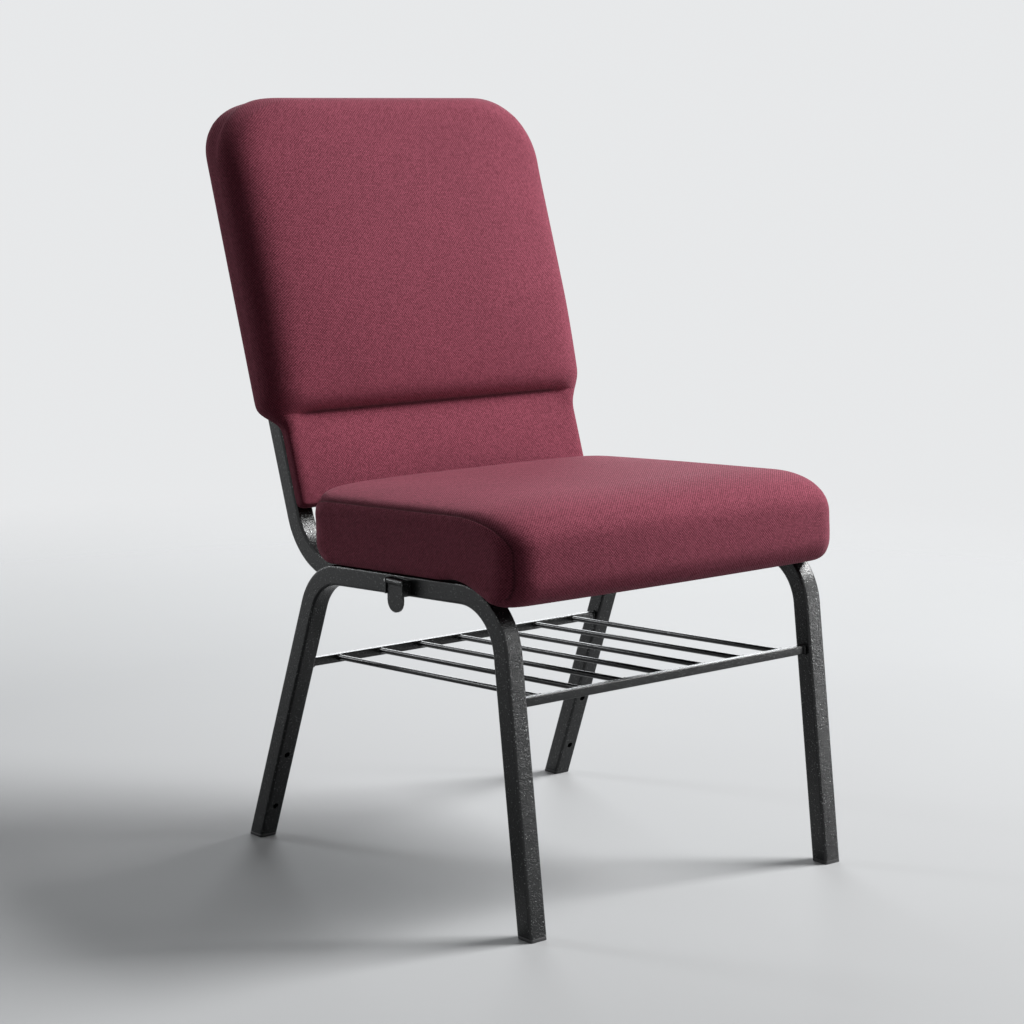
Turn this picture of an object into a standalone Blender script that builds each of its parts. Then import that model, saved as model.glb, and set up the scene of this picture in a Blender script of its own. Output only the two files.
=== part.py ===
"""A stacking auditorium chair: two bent tube side frames, two bent back uprights, an upholstered seat
and back, a book rack under the seat and a swinging tongue that gangs a row of chairs. Metres, +Z up,
front to -Y. The origin is on the floor, under the middle of the chair's bounding box."""
import math

import bmesh
import bpy
from mathutils import Matrix, Vector

# Clearances
GAP = 0.0003
PIN_PLAY = 0.00035
FOAM_EASE = 0.0008

# Tube frame
TUBE = 0.0222
WALL = 0.0016
TUBE_CORNER = 0.003
BEND_RADIUS = 0.062
FRAME_WIDTH = 0.453
FOOT_SPREAD = 0.503
TOE_OUT = math.radians(1.1)
FRONT_LEAN = math.radians(7.6)
REAR_LEAN = math.radians(20.7)
SEAT_SLOPE = math.radians(3.3)
RAIL_TOP = 0.3436
GLIDE_SOLE = 0.004
GLIDE_STUB = 0.018
LEG_HOLE_HEIGHTS = (0.043, 0.108)
LEG_HOLE = 0.007

# Back uprights and cross rails
RECLINE = math.radians(18.7)
UPRIGHT_RADIUS = 0.074
UPRIGHT_FOOT = 0.421
UPRIGHT_TOP = 0.488
RUN_LAP = 0.021
TOP_RAIL_DROP = 0.020
FRONT_RAIL_SET_IN = 0.125
REAR_RAIL_SET_IN = 0.060
PLUG_FLANGE = 0.0015
PLUG_DEPTH = 0.012

# Book rack
RACK_TOP = 0.2415
RACK_BAR = 0.0095
ROD_COUNT = 7
ROD_PITCH = 0.057
ROD_DIAMETER = 0.006
ROD_RISE = 0.001

# Ganging tongue on the left, receiver on the right
GANG_AT = 0.208
GANG_DROP = 0.0064
GANG_REACH = 0.009
GANG_HEIGHT = 0.017
GANG_SHEET = 0.002
TONGUE_WIDTH = 0.0252
TONGUE_LENGTH = 0.032
TONGUE_SHEET = 0.003
KNUCKLE = 0.0068
PIN_DIAMETER = 0.0032
PIN_HEAD = 0.0056
PIN_HEAD_HEIGHT = 0.0012
SLOT_WIDTH = 0.0285
SLOT_HEIGHT = 0.0052

# Seat
SEAT_OVERHANG = 0.0055
SEAT_FRONT = 0.010
SEAT_REAR_ROOM = 0.031
SEAT_HEIGHT = 0.0735
SEAT_CROWN = 0.009
SEAT_NOSE_DEPTH = 0.058
SEAT_NOSE_HEIGHT = 0.038
SEAT_NOSE_DROP = 0.0165
SEAT_NOSE_LIFT = 0.24
SEAT_NOSE_FOOT = 0.014
SEAT_NOSE_BOW = 0.005
SEAT_TUCK = 0.098
SEAT_TUCK_SLOPE = 0.028
SEAT_TUCK_SHARE = 0.2
SEAT_TOP_RISES = ((0.32, 0.0009), (0.50, 0.0011), (0.70, 0.0007))
SEAT_BACK_TOP_RADIUS = 0.024
SEAT_BACK_BOTTOM_RADIUS = 0.026
SEAT_FRONT_CORNER = 0.034
SEAT_REAR_CORNER = 0.050
SEAT_SEAM_RADIUS = 0.010
SEAT_HEM_RADIUS = 0.004
SEAT_WAIST = 0.002
SEAT_DISH = 0.5
BOARD = 0.012
BOARD_MARGIN = 0.010
BOARD_FRONT_MARGIN = 0.066
BOARD_REAR_MARGIN = 0.028
BOARD_CORNER = 0.030
DUST_COVER = 0.0008
DUST_LAP = 0.018
COVER = 0.001
COVER_RETURN = 0.030

# Seat fasteners
SCREW_ACROSS = 0.300
SCREW_DIAMETER = 0.006
SCREW_HEAD = 0.012
SCREW_HEAD_HEIGHT = 0.0035
SCREW_CLEARANCE = 0.0072
NUT_BARREL = 0.008
NUT_FLANGE = 0.018
NUT_FLANGE_HEIGHT = 0.0014
NUT_LENGTH = 0.010

# Back
BACK_SET_IN = 0.0035
BACK_FRONT = 0.050
BACK_REAR = 0.0158
BACK_BOTTOM = 0.167
BACK_TOP_LAP = 0.046
BACK_CORNER = 0.078
BACK_REAR_CORNER = 0.060
BACK_LOW_CORNER = 0.014
BACK_FRONT_ROUND = 0.026
BACK_REAR_ROUND = 0.014
BACK_CROWN = 0.005
BACK_PLATEAU = 0.120
BACK_TUCK = 0.008
BACK_BOARD = 0.006
BACK_BOARD_SET_IN = 0.010
BACK_BOARD_MARGIN = 0.019
BACK_BOARD_CORNER = 0.055
REAR_PANEL = 0.003
LUMBAR_SET_IN = 0.0185
LUMBAR_FRONT = 0.027
LUMBAR_BOTTOM = 0.062
LUMBAR_ROUND = 0.007
LUMBAR_CROWN = 0.002
BACK_SCREW_LOW = 0.110
BACK_SCREW_DROP = 0.048
BACK_SCREW = 0.0042
BACK_SCREW_HEAD = 0.009
BACK_SCREW_HEAD_HEIGHT = 0.0024
BACK_SCREW_GRIP = 0.005
BACK_SCREW_CLEARANCE = 0.005

# Facets
MERGE = 1e-6
SHARP_ANGLE = math.radians(32)
ROUND_SIDES = 12
BEND_STEPS = 7
CORNER_STEPS = 2
SEAT_STEPS = 3
NOSE_STEPS = 6
SEAT_STATIONS = (0, 0.3, 0.6, 0.85)
FRONT_STEPS = 4
REAR_STEPS = 3
BACK_STEPS = 6
LUMBAR_STEPS = 3
CROWN_SHARE = 0.7

FINISHES = {
    "powder_coat": ((0.045, 0.050, 0.050), 0.45, 0.6),
    "fabric": ((0.250, 0.050, 0.080), 0.9, 0.0),
    "foam": ((0.800, 0.720, 0.480), 0.95, 0.0),
    "plywood": ((0.560, 0.400, 0.240), 0.7, 0.0),
    "dust_cloth": ((0.020, 0.020, 0.022), 0.95, 0.0),
    "nylon": ((0.015, 0.015, 0.016), 0.5, 0.0),
    "zinc": ((0.600, 0.600, 0.580), 0.35, 1.0),
}

SEAT_WIDTH = FRAME_WIDTH + 2 * SEAT_OVERHANG
SEAT_REAR = UPRIGHT_FOOT - SEAT_REAR_ROOM
REAR_RAIL_AT = SEAT_REAR - REAR_RAIL_SET_IN
FRONT_RAIL_AT = SEAT_FRONT + FRONT_RAIL_SET_IN
RUN_FRONT = FRONT_RAIL_AT - RUN_LAP
BACK_WIDTH = FRAME_WIDTH - 2 * BACK_SET_IN
BACK_TOP = UPRIGHT_TOP + BACK_TOP_LAP
BACK_SCREW_HEIGHTS = (BACK_SCREW_LOW, UPRIGHT_TOP - BACK_SCREW_DROP)
LUMBAR_WIDTH = FRAME_WIDTH - 2 * LUMBAR_SET_IN
BACK_BOARD_WIDTH = LUMBAR_WIDTH - 2 * BACK_BOARD_SET_IN
FRAME_X = (FRAME_WIDTH - TUBE) / 2
TOE_EASE = TUBE / 2 * math.sin(TOE_OUT)
INNER_HALF = FRAME_WIDTH / 2 - TUBE
UPRIGHT_X = INNER_HALF - GAP - TUBE / 2
SPAN_HALF = UPRIGHT_X - TUBE / 2 - GAP - TOE_EASE
UPRIGHT_FACE = -TUBE / 2 - GAP - TOE_EASE
BORE_HALF = TUBE / 2 - WALL - GAP
SIDES = {"left": -1, "right": 1}
ALONG_Y = Matrix.Rotation(math.radians(-90), 4, "X")
DOWN_RAIL = Vector((math.cos(SEAT_SLOPE), -math.sin(SEAT_SLOPE)))
OFF_RAIL = Vector((math.sin(SEAT_SLOPE), math.cos(SEAT_SLOPE)))
RAIL_MIDDLE = Vector((FOOT_SPREAD / 2, RAIL_TOP))
RAIL_AXIS = RAIL_MIDDLE - OFF_RAIL * TUBE / 2
FRONT_LEG = Vector((math.sin(FRONT_LEAN), math.cos(FRONT_LEAN)))
FRONT_FOOT = Vector((TUBE / 2 / math.cos(FRONT_LEAN), 0))
REAR_LEG = Vector((-math.sin(REAR_LEAN), math.cos(REAR_LEAN)))
REAR_FOOT = Vector((FOOT_SPREAD - TUBE / 2 / math.cos(REAR_LEAN), 0))


def on_line(point, direction, y):
    """The point of a line in the side view at a depth y."""
    return point + direction * ((y - point.x) / direction.x)


def meet(point, direction, other_point, other_direction):
    """Where two lines of the side view cross."""
    apart = other_point - point
    across = direction.x * other_direction.y - direction.y * other_direction.x
    return point + direction * ((apart.x * other_direction.y - apart.y * other_direction.x) / across)


FRONTMOST = RAIL_MIDDLE.x * (1 - math.cos(TOE_OUT)) - (FRAME_WIDTH / 2 - UPRIGHT_X) * math.sin(TOE_OUT)
UPRIGHT_START = on_line(RAIL_AXIS, DOWN_RAIL, UPRIGHT_FOOT)
BACK_REARMOST = (UPRIGHT_START.x + (BACK_TOP - BACK_REAR_ROUND) * math.sin(RECLINE)
                 + (BACK_REAR - BACK_REAR_ROUND) * math.cos(RECLINE) + BACK_REAR_ROUND)


def toed(y):
    """How much further out the side frames stand at a depth than at the middle of their rails."""
    return (y - RAIL_MIDDLE.x) * math.tan(TOE_OUT)


def back_depth(height):
    """The depth of the uprights' axes at a height along the back."""
    return UPRIGHT_START.x + height * math.sin(RECLINE)


def clear_scene():
    """Removes whatever the file held before."""
    for old in list(bpy.data.objects):
        bpy.data.objects.remove(old, do_unlink=True)


def empty(name, parent, place, tilt=0, turn=0):
    """An empty that carries the pieces of one tilted or turned group."""
    holder = bpy.data.objects.new(name, None)
    bpy.context.scene.collection.objects.link(holder)
    holder.parent = parent
    holder.location = place
    holder.rotation_euler = (tilt, 0, turn)
    return holder


def finish_material(name, finish):
    """The piece's own material, with the finish's colour, roughness and metallic value."""
    colour, roughness, metallic = FINISHES[finish]
    made = bpy.data.materials.new(name + "_" + finish)
    made.use_nodes = True
    shader = made.node_tree.nodes["Principled BSDF"]
    shader.inputs["Base Color"].default_value = (*colour, 1)
    shader.inputs["Roughness"].default_value = roughness
    shader.inputs["Metallic"].default_value = metallic
    made.diffuse_color = (*colour, 1)
    return made


def piece(bm, name, finish, parent):
    """Turns a bmesh into a named object with its material."""
    bmesh.ops.recalc_face_normals(bm, faces=bm.faces)
    mesh = bpy.data.meshes.new(name)
    bm.to_mesh(mesh)
    bm.free()
    mesh.shade_smooth()
    mesh.set_sharp_from_angle(angle=SHARP_ANGLE)
    mesh.materials.append(finish_material(name, finish))
    made = bpy.data.objects.new(name, mesh)
    bpy.context.scene.collection.objects.link(made)
    made.parent = parent
    return made


def cut(target, cutter):
    """Takes a cutter's shape out of a piece, and leaves the cutter as a wire guide."""
    cutter.hide_render = True
    cutter.display_type = "WIRE"
    boolean = target.modifiers.new("cut_" + cutter.name, "BOOLEAN")
    boolean.operation = "DIFFERENCE"
    boolean.solver = "EXACT"
    boolean.object = cutter


def rounded(left, right, low, high, radii, steps=CORNER_STEPS):
    """Points round a rectangle, with radii for the right high, left high, left low and right low corners."""
    corners = ((right, high, 1, 1, 0), (left, high, -1, 1, 90),
               (left, low, -1, -1, 180), (right, low, 1, -1, 270))
    points = []
    for (a, b, side, level, start), radius in zip(corners, radii):
        for step in range(steps + 1):
            angle = math.radians(start + 90 * step / steps)
            points.append((a - side * radius + radius * math.cos(angle),
                           b - level * radius + radius * math.sin(angle)))
    return points


def ring(bm, points):
    """Vertices of a closed outline."""
    return [bm.verts.new(point) for point in points]


def walls(bm, rings):
    """Faces between each outline and the next, split alike so that one form fits inside another."""
    for here, following in zip(rings, rings[1:]):
        for i in range(len(here)):
            bm.faces.new((here[i - 1], here[i], following[i]))
            bm.faces.new((here[i - 1], following[i], following[i - 1]))


def loft(name, finish, parent, outlines):
    """A solid through closed outlines of equal point count, with flat ends."""
    bm = bmesh.new()
    rings = [ring(bm, points) for points in outlines]
    walls(bm, rings)
    bm.faces.new(rings[0])
    bm.faces.new(rings[-1])
    return piece(bm, name, finish, parent)


def slab(name, finish, parent, outline, low, high):
    """A flat plate: an outline in X and Y between two heights."""
    return loft(name, finish, parent, [[(x, y, z) for x, y in outline] for z in (low, high)])


def panel(name, finish, parent, outline, front, rear):
    """An upright plate: an outline in X and Z between two depths."""
    return loft(name, finish, parent, [[(x, y, z) for x, z in outline] for y in (front, rear)])


def block(name, finish, parent, low, high):
    """A plain box between two corners."""
    bm = bmesh.new()
    middle = (Vector(low) + Vector(high)) / 2
    size = Vector(high) - Vector(low)
    bmesh.ops.create_cube(bm, size=1, matrix=Matrix.Translation(middle) @ Matrix.Diagonal((*size, 1)))
    return piece(bm, name, finish, parent)


def turned(name, finish, parent, place, profile, turn=Matrix.Identity(4)):
    """A turned piece about its own Z axis; the profile holds (radius, height) from one end to the other."""
    bm = bmesh.new()
    verts = [bm.verts.new((radius, 0, height)) for radius, height in profile]
    edges = [bm.edges.new(pair) for pair in zip(verts, verts[1:])]
    if profile[0][0] > 0:
        edges.append(bm.edges.new((verts[-1], verts[0])))
    bmesh.ops.spin(bm, geom=verts + edges, cent=(0, 0, 0), axis=(0, 0, 1), angle=math.tau,
                   steps=ROUND_SIDES, use_merge=True)
    bmesh.ops.remove_doubles(bm, verts=bm.verts, dist=MERGE)
    bmesh.ops.transform(bm, matrix=Matrix.Translation(place) @ turn, verts=bm.verts)
    return piece(bm, name, finish, parent)


def rod_profile(diameter, low, high):
    """The turned profile of a plain round bar."""
    return ((0, low), (diameter / 2, low), (diameter / 2, high), (0, high))


def tube_through(name, parent, places):
    """A hollow square tube through planes, each a matrix whose X and Y lie across the tube."""
    bm = bmesh.new()
    skins = []
    for half, corner in ((TUBE / 2, TUBE_CORNER), (TUBE / 2 - WALL, TUBE_CORNER - WALL)):
        outline = rounded(-half, half, -half, half, [corner] * 4)
        skins.append([ring(bm, [place @ Vector((a, b, 0)) for a, b in outline]) for place in places])
    outer, inner = skins
    walls(bm, outer)
    walls(bm, inner)
    for end in (0, -1):
        walls(bm, [outer[end], inner[end]])
    return piece(bm, name, "powder_coat", parent)


def across_path(x, point, ahead, level_cut):
    """The plane square to a tube at a point of its axis, or the level plane through that point."""
    off = Vector((-ahead.y, ahead.x))
    if level_cut:
        off = Vector((1 / off.x, 0))
    return Matrix(((1, 0, 0, x), (0, off.x, ahead.x, point.x), (0, off.y, ahead.y, point.y), (0, 0, 0, 1)))


def bent_tube(name, parent, x, path, radius, level_ends=False):
    """A tube along straight runs that meet in bends. The path is (y, z) points of its axis."""
    ahead = (path[1] - path[0]).normalized()
    places = [across_path(x, path[0], ahead, level_ends)]
    for corner, following in zip(path[1:], path[2:]):
        after = (following - corner).normalized()
        turn = math.atan2(ahead.x * after.y - ahead.y * after.x, ahead.dot(after))
        start = corner - ahead * radius * math.tan(abs(turn) / 2)
        centre = start + Vector((-ahead.y, ahead.x)) * math.copysign(radius, turn)
        for step in range(BEND_STEPS + 1):
            swing = Matrix.Rotation(turn * step / BEND_STEPS, 2)
            places.append(across_path(x, centre + swing @ (start - centre), swing @ ahead, False))
        ahead = after
    places.append(across_path(x, path[-1], ahead, level_ends))
    return tube_through(name, parent, places)


def cross_tube(name, parent, y, z, half):
    """A tube across the chair."""
    return tube_through(name, parent, [Matrix(((0, 0, 1, x), (1, 0, 0, y), (0, 1, 0, z), (0, 0, 0, 1)))
                                       for x in (-half, half)])


def side_plane(chair, side):
    """An empty that turns one side of the frame outward to the rear, about the run beside its rail."""
    pivot = Vector((SIDES[side] * UPRIGHT_X, RAIL_MIDDLE.x, 0))
    turn = -SIDES[side] * TOE_OUT
    return empty("plane_" + side, chair, pivot - Matrix.Rotation(turn, 3, "Z") @ pivot, turn=turn)


def side_frame(plane, side):
    """One inverted U of tube: front leg, seat rail and rear leg, with two drilled holes in the rear leg."""
    path = [FRONT_FOOT + FRONT_LEG * (GLIDE_SOLE / FRONT_LEG.y),
            meet(FRONT_FOOT, FRONT_LEG, RAIL_AXIS, DOWN_RAIL),
            meet(REAR_FOOT, REAR_LEG, RAIL_AXIS, DOWN_RAIL),
            REAR_FOOT + REAR_LEG * (GLIDE_SOLE / REAR_LEG.y)]
    x = SIDES[side] * FRAME_X
    frame = bent_tube("side_frame_" + side, plane, x, path, BEND_RADIUS, level_ends=True)
    square_to_leg = Matrix.Rotation(math.radians(90) + REAR_LEAN, 4, "X")
    for height in LEG_HOLE_HEIGHTS:
        axis = REAR_FOOT + REAR_LEG * (height / REAR_LEG.y)
        name = f"leg_hole_{side}_{round(height * 1000)}"
        cut(frame, turned(name, "nylon", plane, (x, *axis), rod_profile(LEG_HOLE, 0, TUBE), square_to_leg))


def foot_glide(plane, side, end, foot, leg):
    """A nylon glide: a sole under the cut tube and a stub inside it, both along the leg."""
    x = SIDES[side] * FRAME_X
    levels = ((0, TUBE / 2, TUBE_CORNER), (GLIDE_SOLE - GAP, TUBE / 2, TUBE_CORNER),
              (GLIDE_SOLE - GAP, BORE_HALF, TUBE_CORNER - WALL),
              (GLIDE_SOLE + GLIDE_STUB, BORE_HALF, TUBE_CORNER - WALL))
    outlines = []
    for height, half, corner in levels:
        axis = foot + leg * (height / leg.y)
        deep = half / leg.y
        outline = rounded(x - half, x + half, axis.x - deep, axis.x + deep, [corner] * 4)
        outlines.append([(a, b, height) for a, b in outline])
    loft(f"foot_glide_{end}_{side}", "nylon", plane, outlines)


def tube_plug(name, parent, x, end, ahead):
    """A nylon plug in an open tube end; ahead points out of the tube in the side view."""
    levels = ((-PLUG_DEPTH, BORE_HALF, TUBE_CORNER - WALL), (GAP, BORE_HALF, TUBE_CORNER - WALL),
              (GAP, TUBE / 2, TUBE_CORNER), (GAP + PLUG_FLANGE, TUBE / 2, TUBE_CORNER))
    outlines = []
    for out, half, corner in levels:
        centre = end + ahead * out
        across = Vector((-ahead.y, ahead.x))
        outline = rounded(-half, half, -half, half, [corner] * 4)
        outlines.append([(x + a, *(centre + across * b)) for a, b in outline])
    loft(name, "nylon", parent, outlines)


def back_screw_place(side, height):
    """Where a back screw crosses its upright's axis, in the back's own frame."""
    return (SIDES[side] * (UPRIGHT_X + toed(back_depth(height))), 0, height)


def back_upright(plane, back, side):
    """A bent tube: a run under the seat beside the rail, and the upright that the back hangs on."""
    x = SIDES[side] * UPRIGHT_X
    upward = Vector((math.sin(RECLINE), math.cos(RECLINE)))
    front = on_line(RAIL_AXIS, DOWN_RAIL, RUN_FRONT)
    top = UPRIGHT_START + upward * UPRIGHT_TOP
    upright = bent_tube("back_upright_" + side, plane, x, [front, UPRIGHT_START, top], UPRIGHT_RADIUS)
    tube_plug("seat_run_plug_" + side, plane, x, front, -DOWN_RAIL)
    tube_plug("upright_plug_" + side, plane, x, top, upward)
    for row, height in zip(("low", "high"), BACK_SCREW_HEIGHTS):
        hole = turned(f"back_screw_hole_{row}_{side}", "nylon", back, back_screw_place(side, height),
                      rod_profile(BACK_SCREW_CLEARANCE, -TUBE, TUBE), ALONG_Y)
        cut(upright, hole)


def frame_parts(planes, seat, back):
    """The welded steel frame with its glides and plugs."""
    for side, plane in planes.items():
        side_frame(plane, side)
        back_upright(plane, back, side)
        foot_glide(plane, side, "front", FRONT_FOOT, FRONT_LEG)
        foot_glide(plane, side, "rear", REAR_FOOT, REAR_LEG)
    top_rail = UPRIGHT_TOP - TOP_RAIL_DROP
    cross_tube("back_top_rail", back, 0, top_rail, SPAN_HALF + toed(back_depth(top_rail)))
    rails = []
    for end, at in (("front", FRONT_RAIL_AT), ("rear", REAR_RAIL_AT)):
        depth = (at - RAIL_MIDDLE.x) / DOWN_RAIL.x
        rails.append((depth, cross_tube("seat_rail_" + end, seat, depth, -TUBE / 2, SPAN_HALF + toed(at))))
    return rails


def book_rack(chair):
    """Two bars welded between the legs and seven rods between the bars."""
    front = FRONT_FOOT + FRONT_LEG * (RACK_TOP / FRONT_LEG.y)
    rear = meet(front, DOWN_RAIL, REAR_FOOT, REAR_LEG)
    rack = empty("book_rack", chair, (0, *front), -SEAT_SLOPE)
    reach = (rear - front).length
    half = RACK_BAR / 2
    for end, depth, at in (("front", 0, front.x), ("rear", reach, rear.x)):
        bar_half = INNER_HALF + toed(at) - GAP - TOE_EASE
        block("rack_bar_" + end, "powder_coat", rack, (-bar_half, depth - half, -RACK_BAR),
              (bar_half, depth + half, 0))
    rod = rod_profile(ROD_DIAMETER, half + GAP, reach - half - GAP)
    for number in range(ROD_COUNT):
        x = (number - (ROD_COUNT - 1) / 2) * ROD_PITCH
        turned(f"rack_rod_{number + 1}", "powder_coat", rack, (x, 0, ROD_RISE - half), rod, ALONG_Y)


def gang_parts(planes):
    """The hinged tongue with its bracket and pin on the left rail, and the slotted receiver on the right."""
    left = planes["left"]
    rail = on_line(RAIL_MIDDLE, DOWN_RAIL, GANG_AT)
    height = rail.y - GANG_DROP
    face = FRAME_WIDTH / 2 + GAP
    axis_x = -(FRAME_WIDTH / 2 + GANG_REACH)
    low = height + KNUCKLE / 2 - GANG_HEIGHT
    top = height + KNUCKLE / 2
    ear_in = TONGUE_WIDTH / 2 + 2 * GAP
    ear_out = ear_in + GANG_SHEET
    tip = axis_x - KNUCKLE / 2
    plan = [(-face, -ear_out), (-face, ear_out), (tip, ear_out), (tip, ear_in),
            (-face - GANG_SHEET, ear_in), (-face - GANG_SHEET, -ear_in), (tip, -ear_in), (tip, -ear_out)]
    bracket = slab("gang_bracket", "powder_coat", left, [(x, GANG_AT + y) for x, y in plan], low, top)
    pin_hole = turned("gang_pin_hole", "nylon", left, (axis_x, GANG_AT, height),
                      rod_profile(PIN_DIAMETER + 2 * PIN_PLAY, -2 * ear_out, 2 * ear_out), ALONG_Y)
    cut(bracket, pin_hole)
    head = ear_out + GAP
    pin = ((0, -head - PIN_HEAD_HEIGHT), (PIN_HEAD / 2, -head - PIN_HEAD_HEIGHT), (PIN_HEAD / 2, -head),
           (PIN_DIAMETER / 2, -head), (PIN_DIAMETER / 2, head), (PIN_HEAD / 2, head),
           (PIN_HEAD / 2, head + PIN_HEAD_HEIGHT), (0, head + PIN_HEAD_HEIGHT))
    turned("gang_pin", "zinc", left, (axis_x, GANG_AT, height), pin, ALONG_Y)
    hinge = empty("gang_hinge", left, (axis_x, GANG_AT, height))
    gang_tongue(hinge)
    gang_receiver(planes["right"], face, -tip, low, top, height)


def gang_tongue(hinge):
    """A flat tongue with a rounded end, in one with the knuckle that turns on the pin."""
    half = TONGUE_WIDTH / 2
    thick = TONGUE_SHEET / 2
    knuckle = [(KNUCKLE / 2 * math.cos(angle), KNUCKLE / 2 * math.sin(angle))
               for angle in (math.tau * step / ROUND_SIDES for step in range(ROUND_SIDES))]
    outline = rounded(-half, half, -TONGUE_LENGTH, 0, (GAP, GAP, half, half), ROUND_SIDES // 2)
    tongue = loft("gang_tongue", "powder_coat", hinge,
                  [[(x, y, z) for y, z in outline] for x in (-thick, thick)])
    barrel = loft("gang_knuckle", "powder_coat", hinge,
                  [[(x, y, z) for x, z in knuckle] for y in (-half, half)])
    barrel.hide_render = True
    barrel.display_type = "WIRE"
    union = tongue.modifiers.new("knuckle", "BOOLEAN")
    union.operation = "UNION"
    union.solver = "EXACT"
    union.object = barrel
    bore = turned("gang_tongue_bore", "nylon", hinge, (0, 0, 0),
                  rod_profile(PIN_DIAMETER + 2 * PIN_PLAY, -2 * half, 2 * half), ALONG_Y)
    cut(tongue, bore)


def gang_receiver(right, face, tip, low, top, height):
    """A folded strap on the right rail whose slot takes the next chair's tongue."""
    leg_in = SLOT_WIDTH / 2 + GANG_SHEET
    leg_out = leg_in + GANG_SHEET
    plan = [(face, -leg_out), (tip, -leg_out), (tip, leg_out), (face, leg_out),
            (face, leg_in), (tip - GANG_SHEET, leg_in), (tip - GANG_SHEET, -leg_in), (face, -leg_in)]
    receiver = slab("gang_receiver", "powder_coat", right, [(x, GANG_AT + y) for x, y in plan],
                    low, top + GANG_SHEET)
    slot = block("gang_slot", "nylon", right, (face, GANG_AT - SLOT_WIDTH / 2, height - SLOT_HEIGHT / 2),
                 (tip + GANG_REACH, GANG_AT + SLOT_WIDTH / 2, height + SLOT_HEIGHT / 2))
    cut(receiver, slot)


def fade(value, reach):
    """How far a round of a given radius has drawn in, at a distance past its start."""
    past = min(max(value, 0), reach)
    return reach - math.sqrt(reach * reach - past * past)


def arc(centre, deep, high, start, end, steps):
    """Points of an elliptic arc in the side view, angles in degrees."""
    angles = [math.radians(start + (end - start) * step / steps) for step in range(steps + 1)]
    return [(centre[0] + deep * math.cos(a), centre[1] + high * math.sin(a)) for a in angles]


def seat_profile(x, inset):
    """The seat's side profile at a distance across it, as (depth, height) points, drawn in by an inset.
    It runs from the rear hem forward under the nose, up and over the crowned top, and down the rear."""
    half = SEAT_WIDTH / 2
    out = abs(x)
    share = out / half
    bottom = GAP + DUST_COVER + GAP + inset
    front = SEAT_FRONT - RAIL_MIDDLE.x + inset + SEAT_NOSE_BOW * share ** 2
    corner = fade(out - (half - SEAT_FRONT_CORNER), SEAT_FRONT_CORNER)
    front += corner
    drop = SEAT_NOSE_DROP - SEAT_NOSE_LIFT * corner
    rear = SEAT_REAR - RAIL_MIDDLE.x - inset - fade(out - (half - SEAT_REAR_CORNER), SEAT_REAR_CORNER)
    top = SEAT_HEIGHT - inset + SEAT_CROWN * (1 - share ** 4)
    top -= fade(out - (half - SEAT_SEAM_RADIUS), SEAT_SEAM_RADIUS)
    hem = bottom + fade(out - (half - SEAT_HEM_RADIUS), SEAT_HEM_RADIUS)
    nose_deep = SEAT_NOSE_DEPTH - inset
    nose_high = SEAT_NOSE_HEIGHT - inset
    foot = SEAT_NOSE_FOOT - inset
    back_top = SEAT_BACK_TOP_RADIUS - inset
    back_foot = SEAT_BACK_BOTTOM_RADIUS - inset
    points = arc((rear - back_foot, hem + back_foot), back_foot, back_foot, 0, -90, SEAT_STEPS)
    tuck = SEAT_FRONT + SEAT_TUCK - RAIL_MIDDLE.x
    points += [(tuck, hem), (tuck - SEAT_TUCK_SLOPE, hem - drop * SEAT_TUCK_SHARE)]
    points += arc((front + foot, hem - drop + foot), foot, foot, -95, -180, SEAT_STEPS)
    points += arc((front + nose_deep, top - nose_high), nose_deep, nose_high, 180, 92, NOSE_STEPS)
    points += [(front + (rear - front) * part, top + rise) for part, rise in SEAT_TOP_RISES]
    points += arc((rear - back_top, top - back_top), back_top, back_top, 88, 0, SEAT_STEPS)
    return points


def seat_skin(name, finish, parent, inset):
    """The closed outer form of the upholstered seat, drawn in by an inset."""
    half = SEAT_WIDTH / 2 - inset
    rear_start = half - SEAT_REAR_CORNER
    stations = [part * rear_start for part in SEAT_STATIONS]
    stations += [rear_start + SEAT_REAR_CORNER * math.sin(math.radians(90 * step / NOSE_STEPS))
                 for step in range(NOSE_STEPS + 1)]
    across = [-x for x in reversed(stations[1:])] + stations
    outlines = []
    for x in across:
        profile = seat_profile(x * (SEAT_WIDTH / 2) / half, inset)
        outlines.append([(x, y, z) for y, z in profile])
    for end, side in ((outlines[0], -1), (outlines[-1], 1)):
        middle = sum((Vector(point) for point in end), Vector()) / len(end)
        middle.z = (SEAT_HEIGHT + SEAT_CROWN) / 2
        dish = [middle.lerp(Vector(point), SEAT_DISH) - Vector((side * SEAT_WAIST, 0, 0)) for point in end]
        outlines.insert(0 if side < 0 else len(outlines), dish)
    return loft(name, finish, parent, outlines)


def board_outline(grow):
    """The seat board's outline seen from above, grown by a clearance."""
    half = SEAT_WIDTH / 2 - BOARD_MARGIN + grow
    front = SEAT_FRONT + BOARD_FRONT_MARGIN - RAIL_MIDDLE.x - grow
    rear = SEAT_REAR - BOARD_REAR_MARGIN - RAIL_MIDDLE.x + grow
    corner = BOARD_CORNER + grow
    return rounded(-half, half, front, rear, [SEAT_REAR_CORNER] * 2 + [corner] * 2, SEAT_STEPS)


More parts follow.
